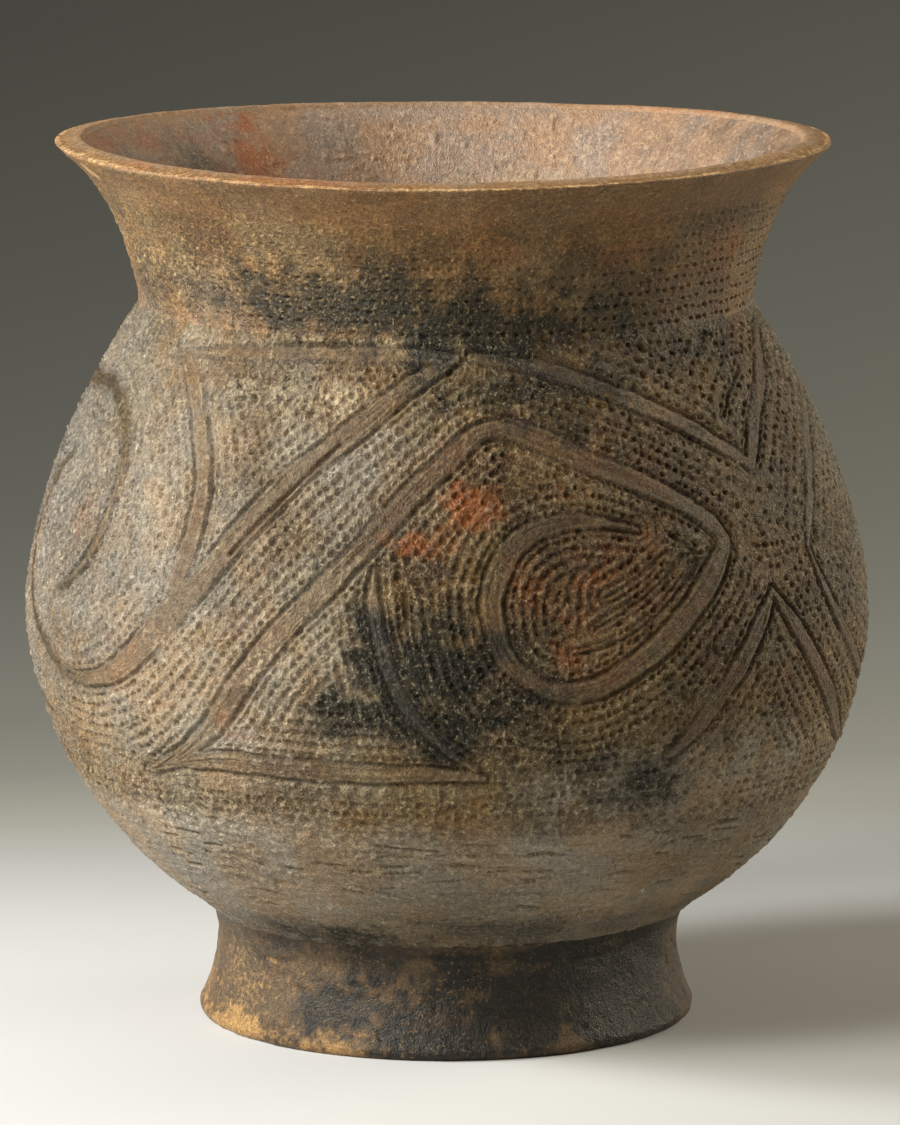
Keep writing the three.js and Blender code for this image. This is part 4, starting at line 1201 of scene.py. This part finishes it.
# Each strap of the wall with the joint below it and the joint above it
straps = (
    ("lower_wall", "base", "lower"),
    ("belly_wall", "lower", "belly"),
    ("upper_wall", "belly", "shoulder"),
    ("shoulder", "shoulder", "neck"),
)


def strap_rows(below, above):
    outer_low, inner_low = joint_rows[below]
    outer_high, inner_high = joint_rows[above]
    outer = rows_of(wall_outer, outer_low, outer_high)
    inner = rows_of(wall_inner, inner_high, inner_low)
    top = rows_between(rows_of(outer, -1, -1), rows_of(inner, 0, 0), joint_steps)
    bottom = rows_between(rows_of(inner, -1, -1), rows_of(outer, 0, 0), joint_steps)
    outer_count = len(outer["x"])
    inner_count = len(inner["x"])
    corners = [0, outer_count - 1, outer_count + joint_steps, outer_count + joint_steps + inner_count - 1]
    return joined(outer, top, inner, bottom), corners


underside_skin = turned_skin(even_line(underside_line, inside_step)[1:])
roughened(underside_skin, 97, 1.2 * smooth_share(70 - underside_skin["run"], 0, 8)[:, None])
underside_skin["smoke"] += 0.4
underside_skin["worn"] = np.clip(0.5 * lumps(underside_skin, 3, 98), 0, 1)
underside = worked(underside_skin)
base_outer, base_inner = joint_rows["base"]
bowl_outer = rows_of(wall_outer, 0, base_outer)
bowl_inside = rows_of(wall_inner, base_inner, len(inside_line) - 1)
bowl_face = rows_between(rows_of(bowl_outer, -1, -1), rows_of(bowl_inside, 0, 0), joint_steps)
bowl_bottom = rows_of(underside, 0, len(underside["x"]) - 2)
bowl_loop = joined(bowl_bottom, bowl_outer, bowl_face, bowl_inside)
bowl_edge = len(bowl_bottom["x"]) + len(bowl_outer["x"]) - 1
base_bowl = turned_mesh(
    "base_bowl_clay", bowl_loop, [len(bowl_bottom["x"]), bowl_edge, bowl_edge + joint_steps + 1], True
)
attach(base_bowl, "root")
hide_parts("base_bowl")
base_bowl.data.materials.append(body_clay)
for name, below, above in straps:
    rows, corners = strap_rows(below, above)
    strap = turned_mesh(name + "_clay", rows, corners)
    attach(strap, "root")
    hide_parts(name)
    strap.data.materials.append(body_clay)

# Neck: the last strap but one, flared outwards by hand. It is stippled in level rows, which
# fade out upwards, and wiped smooth under the lip.
neck_clay = clay_material(
    "neck_clay",
    ((135, 107, 69), (92, 71, 43), (130, 101, 64), (178, 158, 124), (34, 32, 18), (152, 82, 34),
    (152, 128, 107)),
    0.44, 0.45, 0.0008,
)
rows, corners = strap_rows("neck", "lip")
neck = turned_mesh("neck_collar_clay", rows, corners)
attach(neck, "root")
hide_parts("neck_collar")
neck.data.materials.append(neck_clay)

# Lip: the edge of the flare, pinched level and rounded with a wet finger. A pale line along its
# outer edge is a painted highlight, and it is chipped in a few places.
lip_outer_row, lip_inner_row = joint_rows["lip"]
inner_top = inside_line[0, :2]
lip_edge = np.concatenate([
    bezier(mouth_edge, (117.0, 266.2), (116.4, 266.25), (115.4, 266.3), 12),
    bezier((115.4, 266.3), (113.5, 266.7), (111.0, 267.4), (109.5, lip_crest_height), 12)[1:],
    bezier((109.5, lip_crest_height), (108.6, lip_crest_height), (108.3, 266.9), inner_top, 16)[1:],
])
lip_skin = turned_skin(even_line(lip_edge, outside_step * 0.8))
lip_round = smooth_share(np.minimum(lip_skin["run"], lip_skin["run"][-1] - lip_skin["run"]), 0, 2)[:, None]
lip_skin["relief"] += lip_round * (0.16 * lumps(lip_skin, 14, 101) + 0.10 * lumps(lip_skin, 5, 102)
                                   + 0.05 * lumps(lip_skin, 1.6, 103))
lip_chip = patches(lip_skin, ((-68, 265, 1.2, 2, 0.8), (66, 266, 1.5, 2, 0.6), (-150, 267, 2, 2, 0.5)), 104)
lip_skin["relief"] -= 0.7 * lip_chip
lip_skin["burnish"] += 0.6
lip_skin["worn"] = np.clip(0.1 + 0.6 * lumps(lip_skin, 4, 107) + 0.4 * lumps(lip_skin, 1.3, 108), 0, 1)
crest_run = lip_skin["run"][np.argmax(lip_skin["line"][:, 1])]
# Painted highlight along the outer edge, laid in with the buff colour
painted_edge_highlight = np.exp(-(((lip_skin["run"] - 1.4) / 1.1) ** 2))[:, None]
lip_skin["buff"] = np.maximum(lip_chip, painted_edge_highlight * (0.45 + 0.35 * lumps(lip_skin, 9, 109)))
ragged_run = lip_skin["run"][:, None] + 1.5 * lumps(lip_skin, 6, 111)
lip_skin["pale"] += smooth_share(ragged_run, crest_run - 6, crest_run + 1)
lip_blushes = ((-25, 267, 14, 4, 0.5), (-52, 267, 5, 4, 0.4), (140, 267, 20, 4, 0.4))
lip_skin["blush"] = patches(lip_skin, lip_blushes, 110)
lip_top = worked(lip_skin)
lip_outer = rows_of(wall_outer, lip_outer_row, wall_rows - 1)
lip_inner = rows_of(wall_inner, 0, lip_inner_row)
lip_bottom = rows_between(rows_of(lip_inner, -1, -1), rows_of(lip_outer, 0, 0), joint_steps)
lip_loop = joined(lip_outer, rows_of(lip_top, 1, len(lip_top["x"]) - 2), lip_inner, lip_bottom)
lip_end = len(lip_outer["x"]) + len(lip_top["x"]) - 2 + len(lip_inner["x"]) - 1
lip = turned_mesh("lip_clay", lip_loop, [0, lip_end])
lip_clay = clay_material(
    "lip_clay",
    ((132, 102, 66), (98, 74, 46), (148, 114, 76), (198, 169, 136), (58, 52, 38), (154, 84, 38),
    (146, 123, 103)),
    0.46, 0.45, 0.0007,
)
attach(lip, "root")
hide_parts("lip")
lip.data.materials.append(lip_clay)
